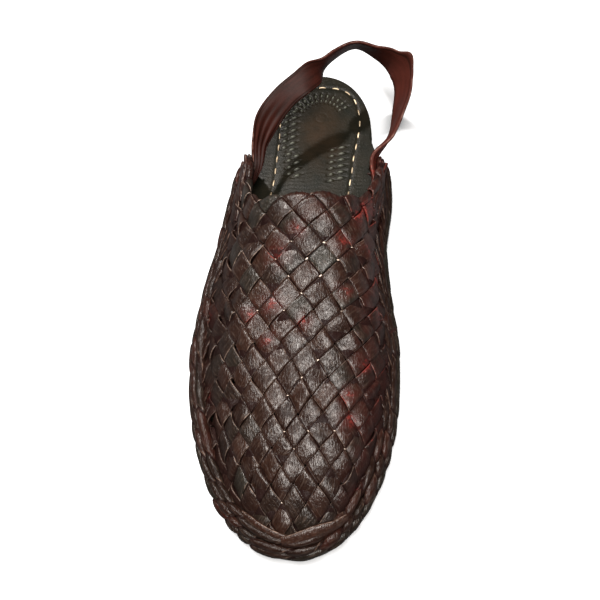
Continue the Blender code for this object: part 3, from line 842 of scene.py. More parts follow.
# All strips of one direction, cut into runs where they leave the shoe
def weaveStrips(rising):
    batch = Batch()
    along = (np.arange(-weave["cells"], weave["cells"])[:, None] + np.array(weave["cellRings"])).ravel()
    limit = math.pi * weave["foldDepth"] + weave["tuck"]
    for line in range(-weave["lines"], weave["lines"]):
        places, offset, values = stripRings(rising, line, along)
        arc, fromHeel = places[..., 0], places[..., 1]
        onFoot = np.maximum(np.abs(arc) - form.flankAt(arc, fromHeel), fromHeel - form.toeEnd)
        distance = pastEdge(places)[0]
        started = (fromHeel < weave["backLimit"]) & (distance < 0.0)
        inside = ((onFoot < 0.0) & (distance < limit) & ~started).any(axis=1)
        change = np.flatnonzero(np.diff(np.concatenate(([0], inside.astype(int), [0]))))
        for start, stop in zip(change[::2], change[1::2]):
            if stop - start < weave["fewestRings"]:
                continue
            part = slice(start, stop)
            shown = {key: data[part] for key, data in values.items()}
            u = along[part][:, None] * weave["uvCell"]
            v = profileX * weave["uvHalfWidth"] + line * weave["uvLine"]
            batch.addTube(layOnShoe(places[part], offset[part]), shown, (u, v))
    return batch


risingStrips = weaveStrips(True).make("rising_strips", stripLeather)
fallingStrips = weaveStrips(False).make("falling_strips", stripLeather)
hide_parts("upper")
print("weave laid", len(risingStrips.data.polygons) + len(fallingStrips.data.polygons))


# Angles round a tube
def roundTurn(count):
    return np.linspace(0.0, 2 * math.pi, count, endpoint=False)[None, :]


pips = {
    "halfLength": 0.00075,
    "halfWidth": 0.00034,
    "halfHeight": 0.00030,
    "depth": 0.00035,
    "dark": (0.12, 0.09, 0.07, 1.0),
    "pale": (0.42, 0.35, 0.30, 1.0),
    "cells": (   # i, j, size, turn in degrees
        (1, 0, 1.0, 0), (1, 1, 1.0, 0), (0, 1, 1.0, 40), (0, 0, 1.0, 40), (2, 1, 0.6, 0), (-1, 0, 0.7, -50),
        (-1, 1, 0.7, -40), (0, -1, 0.5, 0), (-1, -1, 0.5, 0), (-3, 0, 0.6, 0), (-2, 1, 0.6, 0),
        (-2, 4, 0.8, 45), (-3, 4, 0.7, 45), (-4, 4, 0.6, 0), (-5, 5, 0.6, 0), (-4, 6, 0.6, -50),
        (-3, 7, 0.6, 0), (-5, 6, 0.5, -50), (-3, 8, 0.5, 0), (-7, 7, 0.5, -50), (0, 3, 0.5, 0),
    ),
}


# Pale pips where strips cross, each a small flattened bead in the gap between four strips
def makePips():
    pale = Material("palePips", 0.35)
    pale.set({"Base Color": pale.mix(pale.noise(pale.place, 900.0), pips["dark"], pips["pale"])})
    batch = Batch()
    turn = roundTurn(14)
    tilt = np.linspace(-0.47 * math.pi, 0.47 * math.pi, 9)[:, None]
    for i, j, size, angle in pips["cells"]:
        arc, fromHeel = weavePlace(np.array([float(i)]), np.array([float(j)]))
        point, normal = form.at(arc, fromHeel)
        ahead = unit(form.at(arc, fromHeel - 0.001)[0] - point)
        across = np.cross(ahead, normal)
        c, s = math.cos(math.radians(angle)), math.sin(math.radians(angle))
        longWay, shortWay = across * c + ahead * s, ahead * c - across * s
        uneven = 1.0 + 0.25 * np.sin(3.0 * turn + 5.0 * i)
        x = np.cos(tilt) * np.cos(turn) * pips["halfLength"] * size * uneven
        y = np.cos(tilt) * np.sin(turn) * pips["halfWidth"] * size
        z = np.sin(tilt) * pips["halfHeight"] + 0.0 * turn - pips["depth"]
        batch.addTube(point + x[..., None] * longWay + y[..., None] * shortWay + z[..., None] * normal)
    return batch.make("pale_pips", pale.material)


palePips = makePips()

# Roped edge: the strips' ends turn down round the sole in rolls, a thin one at the outline, a thick one
# above it and a soft one where the wall begins. A roll is an oval tube whose radius falls in grooves that
# climb round it: phase = distance / pitch + turns * angle + an uneven warp. Its size at the shoulders
# and at the toe is a share of its size at mid-shoe.
edgeRope = {
    "rings": 1400,
    "crowd": (0.160, 0.235),     # stations over which the folds crowd together and deepen
    "crowding": 0.30,
    "deepening": 1.1,
    "thicken": (0.075, 0.135),   # stations over which the rolls reach their full size
    "endLength": 0.005,
    "uneven": 0.10,
    "rolls": (
        {"inset": 0.0017, "halfWidth": 0.0021, "halfHeight": 0.0025, "lift": 0.0025, "pitch": 0.0170,
         "groove": 0.30, "sides": 18, "tone": -0.45, "backShare": 0.72, "toeShare": 1.18},
        {"inset": 0.0032, "halfWidth": 0.0021, "halfHeight": 0.0032, "lift": 0.0043, "pitch": 0.0150,
         "groove": 0.30, "sides": 24, "tone": 0.0, "backShare": 0.72, "toeShare": 1.18},
        {"inset": 0.0064, "halfWidth": 0.0030, "halfHeight": 0.0030, "lift": 0.0078, "pitch": 0.0210,
         "groove": 0.34, "sides": 20, "tone": 0.05, "backShare": 0.10, "toeShare": 0.80},
    ),
}


def makeEdgeRope():
    batch = Batch()
    for roll in edgeRope["rolls"]:
        outline = soleOutline(roll["inset"])
        path = outline[outline[:, 1] >= last["shoulderAt"]]
        length = travelled(path)
        along = np.linspace(0.0, length[-1], edgeRope["rings"])
        path = np.column_stack([np.interp(along, length, line) for line in path.T])
        side, fromHeel = path[:, :1], path[:, 1:]
        outward = pathNormals(path)
        angle = roundTurn(roll["sides"])
        run = along[:, None]
        warp = 0.30 * np.sin(run / 0.0137) + 0.22 * np.sin(run / 0.0081 + 1.0) + 0.10 * np.sin(run / 0.0043)
        crowd = ease(*edgeRope["crowd"], fromHeel)
        turns = np.cumsum(along[1] / (roll["pitch"] * (1.0 - edgeRope["crowding"] * crowd)), axis=0)
        phase = turns + angle / (2 * math.pi) + warp
        lump = np.floor(phase).astype(int)
        f = phase - lump
        height = np.sin(math.pi * f) ** 0.4 * (0.84 + 0.16 * f)
        vary = random.normal(size=400)[lump % 400]
        size = roll["backShare"] + (1.0 - roll["backShare"]) * ease(*edgeRope["thicken"], fromHeel)
        size = size + (roll["toeShare"] - 1.0) * crowd
        groove = roll["groove"] * (1.0 + edgeRope["deepening"] * crowd)
        swell = 1.0 - groove * (1.0 - height) + edgeRope["uneven"] * vary * height
        rough = 0.030 * np.sin(run / 0.0021 + 3.0 * angle) + 0.025 * np.sin(run / 0.0052 - 2.0 * angle)
        end = np.clip(np.minimum(run, length[-1] - run) / edgeRope["endLength"], 0.0, 1.0)
        swell = (swell + rough) * (0.55 + 0.45 * np.sin(0.5 * math.pi * end))
        across = roll["halfWidth"] * np.cos(angle) * swell * size
        up = roll["halfHeight"] * np.sin(angle) * swell * (0.4 + 0.6 * size)
        middle = footHeight(fromHeel) + roll["lift"]
        values = {
            "edge": ease(0.06, 0.10, f) * (1.0 - ease(0.13, 0.20, f)) * 0.9,
            # painted shade in the grooves between the lumps
            "paintedShade": 0.9 - 0.9 * ease(0.03, 0.22, np.minimum(f, 1.0 - f) * 2.0),
            "tone": 0.18 * vary + roll["tone"],
            "rub": 0.05 + 0.30 * ease(0.3, 1.6, vary),
        }
        points = toWorld(side + outward[:, :1] * across, fromHeel + outward[:, 1:] * across, middle + up)
        batch.addTube(points, values, (run, angle * 0.003))
    return batch.make("roped_edge", edgeLeather)


ropedEdge = makeEdgeRope()
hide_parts("edge_braid")
print("roped edge made")


bands = {
    "arch": 0.0006,   # how much lower a band's edges lie than its middle
    "uvLength": 0.05,
    "uvHalfWidth": 0.003,
}


# Band along a path on the form: the strip profile carried square to the path, at a stand-off
def addBand(batch, arc, fromHeel, halfWidth, standOff, thickness, values):
    point, normal = form.at(arc, fromHeel)
    across = unit(np.cross(normal, unit(np.gradient(point, axis=0))))
    rise = standOff + (profileY - 0.5) * thickness - bands["arch"] * profileX**2
    points = carried(point, across, normal, profileX * halfWidth[:, None], rise)
    uv = (np.linspace(0.0, bands["uvLength"], len(arc))[:, None], profileX * bands["uvHalfWidth"])
    batch.addTube(points, {**values, "edge": profileEdge}, uv)


# Folds that wrap the strips' ends over the roped edge: leaf-shaped bands that start on the wall, lean
# towards the toe and end on the edge, each over the one before it
wrapFolds = {
    "pitch": 0.0100,
    "span": (0.070, 0.206),
    "top": {-1: 0.76, 1: 0.80},
    "length": 0.0150,
    "halfWidth": 0.0040,
    "standOff": (0.0002, 0.0028),
    "overlap": 0.0004,
    "thickness": 0.0012,
    "crease": 0.00016,
    "shiftSpread": 0.25,     # random spread of a fold's place, in pitches, and of its other measures
    "lengthSpread": 0.15,
    "topSpread": 0.035,
    "widthSpread": 0.18,
    "toneSpread": 0.20,
    "rub": {-1: 0.10, 1: 0.30},
    "rings": 30,
}


# A fold's place and its share of the way down the flank both grow along it. Its width is a sine arch
# raised to a power, and its stand-off grows along it and sinks at both ends.
def makeWrapFolds():
    batch = Batch()
    first, final = wrapFolds["span"]
    low, high = wrapFolds["standOff"]
    s = np.linspace(0.0, 1.0, wrapFolds["rings"])
    ends = 0.0022 * ease(0.80, 1.0, s) + 0.0016 * (1.0 - ease(0.0, 0.28, s))
    lift = low + (high - low) * s**1.3 - ends
    leaf = np.sin(math.pi * (0.07 + 0.86 * s)) ** 0.7
    for way in (-1, 1):
        standOff = lift[:, None] - wrapFolds["overlap"] * way * profileX
        for number in range(int((final - first) / wrapFolds["pitch"])):
            shift, size, turn, paint = random.normal(size=4)
            start = first + wrapFolds["pitch"] * (number + wrapFolds["shiftSpread"] * shift)
            fromHeel = start + wrapFolds["length"] * s * (1.0 + wrapFolds["lengthSpread"] * size)
            top = wrapFolds["top"][way] + wrapFolds["topSpread"] * turn
            arc = form.arcAt(way, top + (0.995 - top) * s**0.85, fromHeel)
            crease = wrapFolds["crease"] * np.sin(7.0 * profileX + 9.0 * s[:, None] + 5.0 * paint)
            halfWidth = wrapFolds["halfWidth"] * leaf * (1.0 + wrapFolds["widthSpread"] * size)
            values = {
                # painted shade at the fold's start on the wall, and a lighter painted shade over the whole
                # fold
                "paintedShade": 0.85 * (1.0 - ease(0.0, 0.22, s))[:, None] + 0.30,
                "tone": wrapFolds["toneSpread"] * paint,
                "rub": 0.10 + wrapFolds["rub"][way] * ease(0.2, 1.4, turn),
            }
            addBand(batch, arc, fromHeel, halfWidth, standOff + crease, wrapFolds["thickness"], values)
    return batch.make("wrap_folds", edgeLeather)


# Ragged tabs along both wings: narrow bands running back to free tips past the wing's edge
wingTabs = {
    "rings": 60,
    "thickness": 0.0010,
    "crease": 0.00018,
    "sway": 0.016,
    "curl": 0.0010,
    "toneSpread": 0.15,
    "rub": {-1: 0.22, 1: 0.50},
    "places": (   # side, share of the way down at root and tip, station of root and tip, half width
        (-1, 0.650, 0.672, 0.0940, 0.0672, 0.0013),
        (-1, 0.690, 0.715, 0.1040, 0.0648, 0.0022),
        (-1, 0.775, 0.760, 0.0920, 0.0612, 0.0016),
        (-1, 0.830, 0.815, 0.1080, 0.0648, 0.0023),
        (-1, 0.905, 0.880, 0.0900, 0.0625, 0.0016),
        (1, 0.650, 0.690, 0.0980, 0.0745, 0.0015),
        (1, 0.720, 0.740, 0.0960, 0.0690, 0.0018),
        (1, 0.800, 0.790, 0.0990, 0.0640, 0.0019),
        (1, 0.880, 0.860, 0.0940, 0.0620, 0.0018),
    ),
}


# A tab's width is its half width times a taper and two uneven waves. Its tip curls up or down.
def makeWingTabs():
    batch = Batch()
    s = np.linspace(0.0, 1.0, wingTabs["rings"])
    taper = np.clip(s / 0.10, 0.2, 1.0) * (1.0 - 0.75 * ease(0.80, 1.0, s))
    for number, (way, root, tip, start, stop, halfWidth) in enumerate(wingTabs["places"]):
        fromHeel = start + (stop - start) * s
        share = root + (tip - root) * s + wingTabs["sway"] * np.sin(5.0 * s + 2.0 * number) * s
        ragged = 0.16 * np.sin(11.0 * s + number) + 0.10 * np.sin(27.0 * s + 2.0 * number)
        curl = wingTabs["curl"] * ease(0.75, 1.0, s) * math.sin(2.3 * number + 1.0)
        lift = 0.0002 + 0.0005 * ease(0.0, 0.3, s) + curl
        crease = wingTabs["crease"] * np.sin(6.0 * profileX + 7.0 * s[:, None] + number)
        values = {
            # painted shade at the tab's root, and a lighter painted shade over the whole tab
            "paintedShade": 0.8 * (1.0 - ease(0.0, 0.12, s))[:, None] + 0.15,
            "tone": wingTabs["toneSpread"] * math.sin(3.7 * number + 0.4),
            "rub": wingTabs["rub"][way] + 0.20 * ease(0.6, 1.0, s)[:, None],
        }
        width = halfWidth * taper * (1.0 + ragged)
        arc = form.arcAt(way, share, fromHeel)
        addBand(batch, arc, fromHeel, width, lift[:, None] + crease, wingTabs["thickness"], values)
    return batch.make("wing_tabs", stripLeather)


wingStrips = makeWingTabs()
wrappedEnds = makeWrapFolds()

# Folded bands round the toe, over the ends of the weave
toeBands = {
    "rings": 90,
    "smoothing": 8,   # rings to each side of a point that its place is averaged over
    "thickness": 0.0012,
    "crease": 0.00018,
    "rub": 0.04,
    "bands": (   # arc down the flank and distance from the heel of its points; half width, stand-off, tone
        (((-0.0300, 0.2420), (-0.0196, 0.2495), (-0.0115, 0.2520), (-0.0058, 0.2528), (0.0010, 0.2541)),
         0.0030, 0.0007, 0.15),
        (((-0.0030, 0.2542), (0.0035, 0.2543), (0.0110, 0.2518), (0.0200, 0.2480), (0.0280, 0.2430)),
         0.0028, 0.0012, 0.15),
        (((-0.0265, 0.2405), (-0.0190, 0.2445), (-0.0137, 0.2480), (-0.0073, 0.2508), (-0.0020, 0.2522),
          (0.0030, 0.2526)), 0.0033, 0.0015, 0.40),
        (((-0.0030, 0.2520), (0.0020, 0.2516), (0.0065, 0.2501), (0.0136, 0.2471), (0.0196, 0.2448),
          (0.0260, 0.2400)), 0.0029, 0.0023, 0.55),
    ),
}


# A band's path is straight between its points, then rounded by a running mean, and its width
# follows a sine arch.
def makeToeBands():
    batch = Batch()
    fine = np.linspace(0.0, 1.0, toeBands["rings"])
    reach = toeBands["smoothing"]
    smooth = np.ones(2 * reach + 1) / (2 * reach + 1)
    taper = 0.45 + 0.55 * np.sin(math.pi * np.clip(fine * 0.96 + 0.02, 0.0, 1.0)) ** 0.45
    crease = toeBands["crease"] * np.sin(9.0 * profileX + 5.0 * fine[:, None])
    for path, halfWidth, standOff, tone in toeBands["bands"]:
        share = np.linspace(0.0, 1.0, len(path))
        drawn = [np.interp(fine, share, line) for line in np.array(path).T]
        padded = [np.pad(line, reach, mode="edge") for line in drawn]
        arc, fromHeel = (np.convolve(line, smooth, mode="valid") for line in padded)
        values = {"paintedShade": 0.0, "tone": tone, "rub": toeBands["rub"]}
        addBand(batch, arc, fromHeel, halfWidth * taper, standOff + crease, toeBands["thickness"], values)
    return batch.make("toe_bands", stripLeather)


toeFolds = makeToeBands()

# Heel strap: the run of its middle in the open, and how far its width leans outwards from upright
strap = {
    "width": 0.013,
    "thickness": 0.0018,
    "clearance": 0.0006,
    "rings": 420,
    "facets": 33,
    "endShare": {-1: 0.28, 1: 0.70},
    "pleat": 0.00062,
    "wave": 0.00035,
    "line": 0.00022,         # depth of the line pressed near each edge
    "linePlace": 0.83,       # in half widths
    "start": (0.018, 0.062),   # distances from the little-toe end over which the pleats fade
    "finish": (0.045, 0.022),  # distances from the big-toe end over which they grow again
    "redFinish": (0.036, 0.022),
    "tip": 0.0030,           # how far the pinched corner behind the heel sticks out
    "tipStation": 10.75,
    "tipLength": 0.0024,
}

strapStations = np.array([   # side, from heel, height, lean in degrees, share of the width
    (-0.0262, 0.0700, 0.0262, 20.0, 0.58),
    (-0.0250, 0.0600, 0.0312, 28.0, 0.84),
    (-0.0215, 0.0500, 0.0350, 52.0, 1.00),
    (-0.0125, 0.0380, 0.0395, 58.0, 1.00),
    (-0.0030, 0.0305, 0.0420, 60.0, 1.00),
    (0.0015, 0.0265, 0.0428, 44.0, 1.00),
    (0.0060, 0.0220, 0.0435, -6.0, 0.95),
    (0.0115, 0.0165, 0.0440, -20.0, 0.95),
    (0.0225, 0.0105, 0.0442, -30.0, 1.00),
    (0.0335, 0.0145, 0.0424, -8.0, 1.00),
    (0.0412, 0.0190, 0.0412, 20.0, 1.12),
    (0.0452, 0.0230, 0.0395, 42.0, 1.18),
    (0.0468, 0.0300, 0.0362, 46.0, 1.00),
    (0.0448, 0.0430, 0.0320, 37.0, 1.00),
    (0.0405, 0.0560, 0.0282, 28.0, 0.80),
    (0.0327, 0.0655, 0.0248, 2.0, 0.66),
])

strapAnchors = {   # share of the way down the wing, from heel
    -1: np.array([(0.72, 0.0850), (0.74, 0.0930)]),
    1: np.array([(0.80, 0.0800), (0.82, 0.0900)]),
}


# Middle, width direction and share of the width where the strap lies on the inside of a wing
def strapEnd(way):
    share, fromHeel = strapAnchors[way].T
    depth = last["wall"] + strap["clearance"] + 0.5 * strap["thickness"]
    places = [form.at(form.arcAt(way, share * up, fromHeel), fromHeel) for up in (1.0, 0.97)]
    middle, above = (point - normal * depth for point, normal in places)
    return middle, unit(above - middle), np.full(2, strap["endShare"][way])


# Strap surface: a rounded flat profile carried along the path, with pleats where it bunches at the
# little-toe end and a pressed line near each edge
def makeStrap(material):
    path = toWorld(strapStations[:, 0], strapStations[:, 1], strapStations[:, 2])
    ahead = unit(np.gradient(path, axis=0))
    outward = unit(np.cross((0.0, 0.0, 1.0), ahead))
    lean = np.radians(strapStations[:, 3])[:, None]
    wide = np.cross(ahead, outward) * np.cos(lean) + outward * np.sin(lean)
    start = [part[::-1] for part in strapEnd(-1)]
    free = (path, wide, strapStations[:, 4])
    path, wide, share = (np.concatenate(parts) for parts in zip(start, free, strapEnd(1)))
    knots = travelled(path)
    fine = np.linspace(0.0, knots[-1], strap["rings"])
    path = curveThrough(knots, path, fine)
    wide = curveThrough(knots, wide, fine)
    share = smoothCurve(knots, share, fine)[:, None]
    ahead = unit(np.gradient(path, axis=0))
    wide = unit(wide - ahead * (wide * ahead).sum(axis=1)[:, None])
    across = np.linspace(-1.0, 1.0, strap["facets"])
    face = np.sqrt(np.clip(1.0 - np.abs(across) ** 14, 0.0, 1.0))
    x = np.concatenate((across, across[-2:0:-1]))[None, :]
    body = np.concatenate((face, -face[-2:0:-1]))[None, :]
    run = fine[:, None]
    left = knots[-1] - run
    bunch = 1.0 - ease(*strap["start"], run) + 0.6 * ease(*strap["finish"], left)
    folds = np.sin(2 * math.pi * (1.9 * x + 6.0 * run) + 0.7)
    tipAt = np.interp(strap["tipStation"] + 2, np.arange(len(knots)), knots)
    tip = strap["tip"] * bell(run - tipAt, strap["tipLength"]) * np.clip(x, 0.0, 1.0) ** 5
    line = strap["line"] * bell(np.abs(x) - strap["linePlace"], 0.035) * np.sign(body)
    wave = strap["wave"] * np.sin(run / 0.0085 + 2.2 * x) * np.sin(run / 0.021)
    thickness = 0.5 * strap["thickness"] * body - line + strap["pleat"] * bunch * folds + wave
    width = 0.5 * strap["width"] * share * (1.0 + 0.018 * np.sin(run / 0.0057))
    ends = 0.55 * ease(0.105, 0.150, run) - 0.5 * (1.0 - ease(0.010, 0.040, run))
    values = {
        # paler at the cut edges, and a painted highlight along the crests of the pleats
        "edge": np.maximum(ease(0.90, 0.99, np.abs(x)), 0.85 * bunch * ease(0.70, 0.98, folds)),
        "tone": 0.15 * np.sin(run / 0.013) - 0.5 * bell(np.abs(x) - 0.82, 0.05) - 0.10 + ends,
        "rub": bunch * 0.35 + 0.55 * ease(*strap["redFinish"], left),
    }
    batch = Batch()
    points = carried(path, wide, np.cross(ahead, wide), x * width + tip, thickness)
    batch.addTube(points, values, (run, x * width))
    return batch.make("slack_strap", material)


strapFinish = {
    "deep": (0.0050, 0.0016, 0.0011, 1.0),
    "red": (0.0190, 0.0045, 0.0031, 1.0),
    "edge": (0.075, 0.040, 0.032, 1.0),
    "bright": (0.110, 0.012, 0.009, 1.0),
    "streakScale": (60.0, 420.0, 1.0),
    "grainScale": 1000.0,
    "edgeScale": 300.0,
    "brightScale": 260.0,
    "depth": 0.00008,
    "roughness": 0.36,
    "specular": 0.012,
    "coat": 0.008,
    "coatIOR": 1.8,
    "coatRoughness": 0.36,
}


# Oxblood strap leather, streaked along its length, paler at the cut edges and with painted highlights along
# the crests of the pleats
def makeStrapMaterial(finish):
    leather = Material("strapLeather")
    height, blotch = leather.grain(finish["grainScale"])
    streak = leather.noise(leather.uv, 1.0, 4.0, finish["streakScale"])
    shade = (streak + leather.read("tone") + blotch * 0.5 - 0.32).clamped()
    color = leather.mix(shade, finish["deep"], finish["red"])
    edgeWearAndCrestHighlight = leather.wear(leather.read("edge"), finish["edgeScale"], 0.21)
    color = leather.mix(edgeWearAndCrestHighlight * 0.8, color, finish["edge"])
    bright = leather.wear(leather.read("rub"), finish["brightScale"], 0.18)
    color = leather.mix(bright * 0.8, color, finish["bright"])
    leather.set({"Base Color": color, "Roughness": height * 0.18 + finish["roughness"]})
    leather.shine(finish, leather.bump(height + streak * 1.5, finish["depth"]))
    return leather.material


heelStrap = makeStrap(makeStrapMaterial(strapFinish))
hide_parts("heel_strap")
print("strap made")

# Footbed. Stitches and pressed marks keep to a U inside the heel; sizes in metres
footbed = {
    "margin": 0.0022,
    "toeMargin": 0.0045,
    "step": (0.0515, 0.0565),
    "bevel": 0.0006,
    "roundUntil": 0.004,     # stations: round the heel, then fine ones as far as the marks show
    "fineFrom": 0.0043,
    "fineUntil": 0.090,
    "columns": 150,
    "stitchLength": 0.0038,
    "stitchPitch": 0.0074,
    "stitchStep": 0.0002,
    "stitchSink": 0.0004,    # how deep a stitch's ends lie, and how far its middle rises from there
    "stitchRise": 0.00062,
    "threadRadius": 0.00034,
    "stitchGroove": 0.00022,
    "grooveWidth": 0.0009,
    "markRows": (   # count, step, sideways drift past the sixth; then side, from heel, turn, half length
        (11, 0.0041, 0.0004, -0.0128, 0.0240, 24.0, 0.0021),
        (11, 0.0041, 0.0004, -0.0170, 0.0227, 24.0, 0.0015),
        (6, 0.0038, 0.0, 0.0140, 0.0478, 14.0, 0.0023),
        (6, 0.0038, 0.0, 0.0092, 0.0492, 14.0, 0.0014),
    ),
    "arcCentre": (0.0015, 0.0290),
    "arcTurns": (-62.0, 62.0, 11),
    "markArcs": ((0.0150, 0.0013), (0.0118, 0.0010)),   # radius, half length
    "markHeight": 0.00058,
    "markHalfWidth": 0.00055,
    "markReach": 0.006,
    "moatDepth": 0.00026,
    "moatPlace": 1.35,       # distance from the mark's middle in its half lengths, and width
    "moatWidth": 0.40,
    "ring": (0.0020, 0.0285, 0.0030),   # side, from heel, radius
    "ringDepth": 0.00007,
    "ringWidth": 0.00045,
    "creaseDepth": 0.00004,
    "creaseLength": 0.00078,
}

# Line of the stitches: side, from heel, from the little-toe end round the heel to the big-toe end
stitchLine = np.array([
    (-0.0222, 0.0860), (-0.0213, 0.0740), (-0.0205, 0.0680), (-0.0203, 0.0600), (-0.0200, 0.0520),
    (-0.0198, 0.0430), (-0.0200, 0.0340), (-0.0195, 0.0250), (-0.0165, 0.0165), (-0.0100, 0.0105),
    (-0.0020, 0.0086), (0.0060, 0.0088), (0.0135, 0.0110), (0.0188, 0.0160), (0.0214, 0.0224),
    (0.0230, 0.0308), (0.0227, 0.0394), (0.0217, 0.0479), (0.0206, 0.0562), (0.0202, 0.0644),
    (0.0195, 0.0700), (0.0190, 0.0780), (0.0190, 0.0860),
])


# Points at equal steps along the smooth curve through the line of the stitches
def stitchPoints(step):
    knots = travelled(stitchLine)
    fine = np.linspace(0.0, knots[-1], 600)
    drawn = curveThrough(knots, stitchLine, fine)
    wanted = np.arange(int(knots[-1] / step)) * step
    return np.column_stack([np.interp(wanted, fine, line) for line in drawn.T])


# Pressed marks in rows just inside the stitches: side, from heel, turn in degrees, half length
def pressedMarks():
    marks = []
    for count, step, drift, side, fromHeel, turn, half in footbed["markRows"]:
        for row in range(count):
            marks.append((side + drift * row * (row > 6), fromHeel + step * row, turn, half))
    side, fromHeel = footbed["arcCentre"]
    for turn in np.linspace(*footbed["arcTurns"]):
        c, s = math.cos(math.radians(turn)), math.sin(math.radians(turn))
        for radius, half in footbed["markArcs"]:
            marks.append((side + radius * s, fromHeel - radius * c, 90.0 - turn, half))
    return marks


# Relief of the footbed's top: raised lens-shaped marks in shallow moats, a groove under the stitches, a
# plain ring, and fine creases across the foot; also the mask of the painted glints on the marks
def footbedRelief(side, fromHeel):
    relief = np.zeros(side.shape)
    light = np.zeros(side.shape)
    for markSide, markHeel, turn, half in pressedMarks():
        c, s = math.cos(math.radians(turn)), math.sin(math.radians(turn))
        dx, dy = side - markSide, fromHeel - markHeel
        near = np.abs(dx) + np.abs(dy) < footbed["markReach"]
        lengthwise = (dx[near] * c - dy[near] * s) / half
        crosswise = (dx[near] * s + dy[near] * c) / footbed["markHalfWidth"]
        away = np.hypot(lengthwise, crosswise)
        relief[near] += footbed["markHeight"] * (1.0 - ease(0.25, 1.0, away))
        relief[near] -= footbed["moatDepth"] * bell(away - footbed["moatPlace"], footbed["moatWidth"])
        # mask of the painted glint, strongest in a mark's middle
        light[near] = np.maximum(light[near], 1.0 - ease(0.2, 0.9, away))
    ringSide, ringHeel, radius = footbed["ring"]
    ring = np.hypot(side - ringSide, fromHeel - ringHeel)
    relief -= footbed["ringDepth"] * bell(ring - radius, footbed["ringWidth"])
    away = np.full(side.shape, 1.0)
    for x, t in stitchPoints(0.0012):
        away = np.minimum(away, np.hypot(side - x, fromHeel - t))
    relief -= footbed["stitchGroove"] * bell(away, footbed["grooveWidth"])
    warp = 1.3 * np.sin(side / 0.0063 + 31.0 * fromHeel) + 0.9 * np.sin(side / 0.0027 - 90.0 * fromHeel)
    crease = np.abs(np.sin(fromHeel / footbed["creaseLength"] + warp)) ** 0.5 - 0.7
    relief += footbed["creaseDepth"] * crease * (0.35 + 0.65 * ease(0.030, 0.060, fromHeel))
    return relief, light


# Plate between two heights: cross bars join the sides at each station, rounded at both edges. Each
# level is an inset and the heights of the stations; the relief is added to the topmost.
def makePlate(name, material, sides, stations, levels, columns, topRelief=None):
    big, little = sideAt(sides[1], stations), sideAt(sides[-1], stations)
    middle, half = 0.5 * (big + little), 0.5 * (big - little)
    share = np.linspace(-1.0, 1.0, columns + 1)
    share = 0.6 * share + 0.4 * np.sin(0.5 * math.pi * share)
    along = stations[:, None] + 0.0 * share
    light = np.zeros((len(levels), *along.shape))
    sheets = []
    for inset, height in levels:
        side = middle[:, None] + np.maximum(half - inset, 0.3 * half)[:, None] * share
        height = height[:, None] + 0.0 * side
        if topRelief and len(sheets) == len(levels) - 1:
            relief, light[-1] = topRelief(side, along)
            height = height + relief * (1.0 - np.abs(share) ** 40)
        sheets.append(toWorld(side, along, height))
    points = np.reshape(sheets, (-1, 3))
    index = np.arange(along.size).reshape(along.shape)
    near, far = index[:-1], index[1:]
    sheet = np.stack((near[:, :-1], near[:, 1:], far[:, 1:], far[:, :-1]), axis=-1).reshape(-1, 4)
    faces = [sheet[:, ::-1], sheet + (len(levels) - 1) * along.size]
    border = np.concatenate((index[0, :-1], index[:-1, -1], index[-1, :0:-1], index[:0:-1, 0]))
    band = np.stack((border, np.roll(border, -1)), axis=-1)
    for level in range(len(levels) - 1):
        faces.append(np.hstack((band + level * along.size, band[:, ::-1] + (level + 1) * along.size)))
    faces = outwardFaces(points, np.vstack(faces).tolist())
    return makeMesh(name, points, faces, material, points[:, :2], {"markGlint": light}, merge=0.000002)


# The outline moves inwards from the sole's rim at the heel to the inside of the woven wall further
# forward, over a short step. Stations are close together at both ends and where the marks are.
def makeFootbed(material):
    outline = soleOutline(0.0)
    toe = np.clip((outline[:, 1] - last["roundStart"]) / (last["length"] - last["roundStart"]), 0.0, 1.0)
    inside = last["edgeWidth"] + last["wall"] + footbed["margin"] + footbed["toeMargin"] * toe**2
    blend = ease(*footbed["step"], outline[:, 1])
    sides = bothSides(last["soleInset"] + (inside - last["soleInset"]) * blend)
    first, final = commonSpan(sides)
    quarter = np.linspace(0.0, 0.5 * math.pi, 24)
    heelRound = first + (footbed["roundUntil"] - first) * (1.0 - np.cos(quarter))
    fine = np.linspace(footbed["fineFrom"], footbed["fineUntil"], 225)
    quarter = np.linspace(0.0, 0.5 * math.pi, 60)[1:]
    rest = footbed["fineUntil"] + (final - footbed["fineUntil"]) * np.sin(quarter)
    stations = np.concatenate((heelRound, fine, rest))
    low = footHeight(stations)
    high = low + last["insoleThickness"]
    bevel = footbed["bevel"]
    levels = (
        (0.5 * bevel, low),
        (0.0, low + 0.5 * bevel),
        (0.0, high - bevel),
        (0.3 * bevel, high - 0.3 * bevel),
        (bevel, high),
    )
    return makePlate("footbed", material, sides, stations, levels, footbed["columns"], footbedRelief)


footbedFinish = {
    "dark": (0.0016, 0.0020, 0.0014, 1.0),
    "olive": (0.0050, 0.0041, 0.0026, 1.0),
    "brown": (0.0110, 0.0062, 0.0034, 1.0),
    # pale colour of the painted glints on the marks
    "markGlint": (0.058, 0.062, 0.050, 1.0),
    "heelSide": 0.002,            # middle of the place that the heel has rubbed and of the painted shade round it, and its shape
    "heelAt": 0.038,
    "heelShape": (75.0, 42.0, 0.0),
    "shadeDulling": 0.80,
    "grainScale": 800.0,
    "depth": 0.00010,
    "poreScale": 1500.0,
    "poreDepth": 0.00016,
    "roughness": 0.24,
    "specular": 0.015,
    "coat": 0.034,
    "coatIOR": 1.8,
    "coatRoughness": 0.30,
}


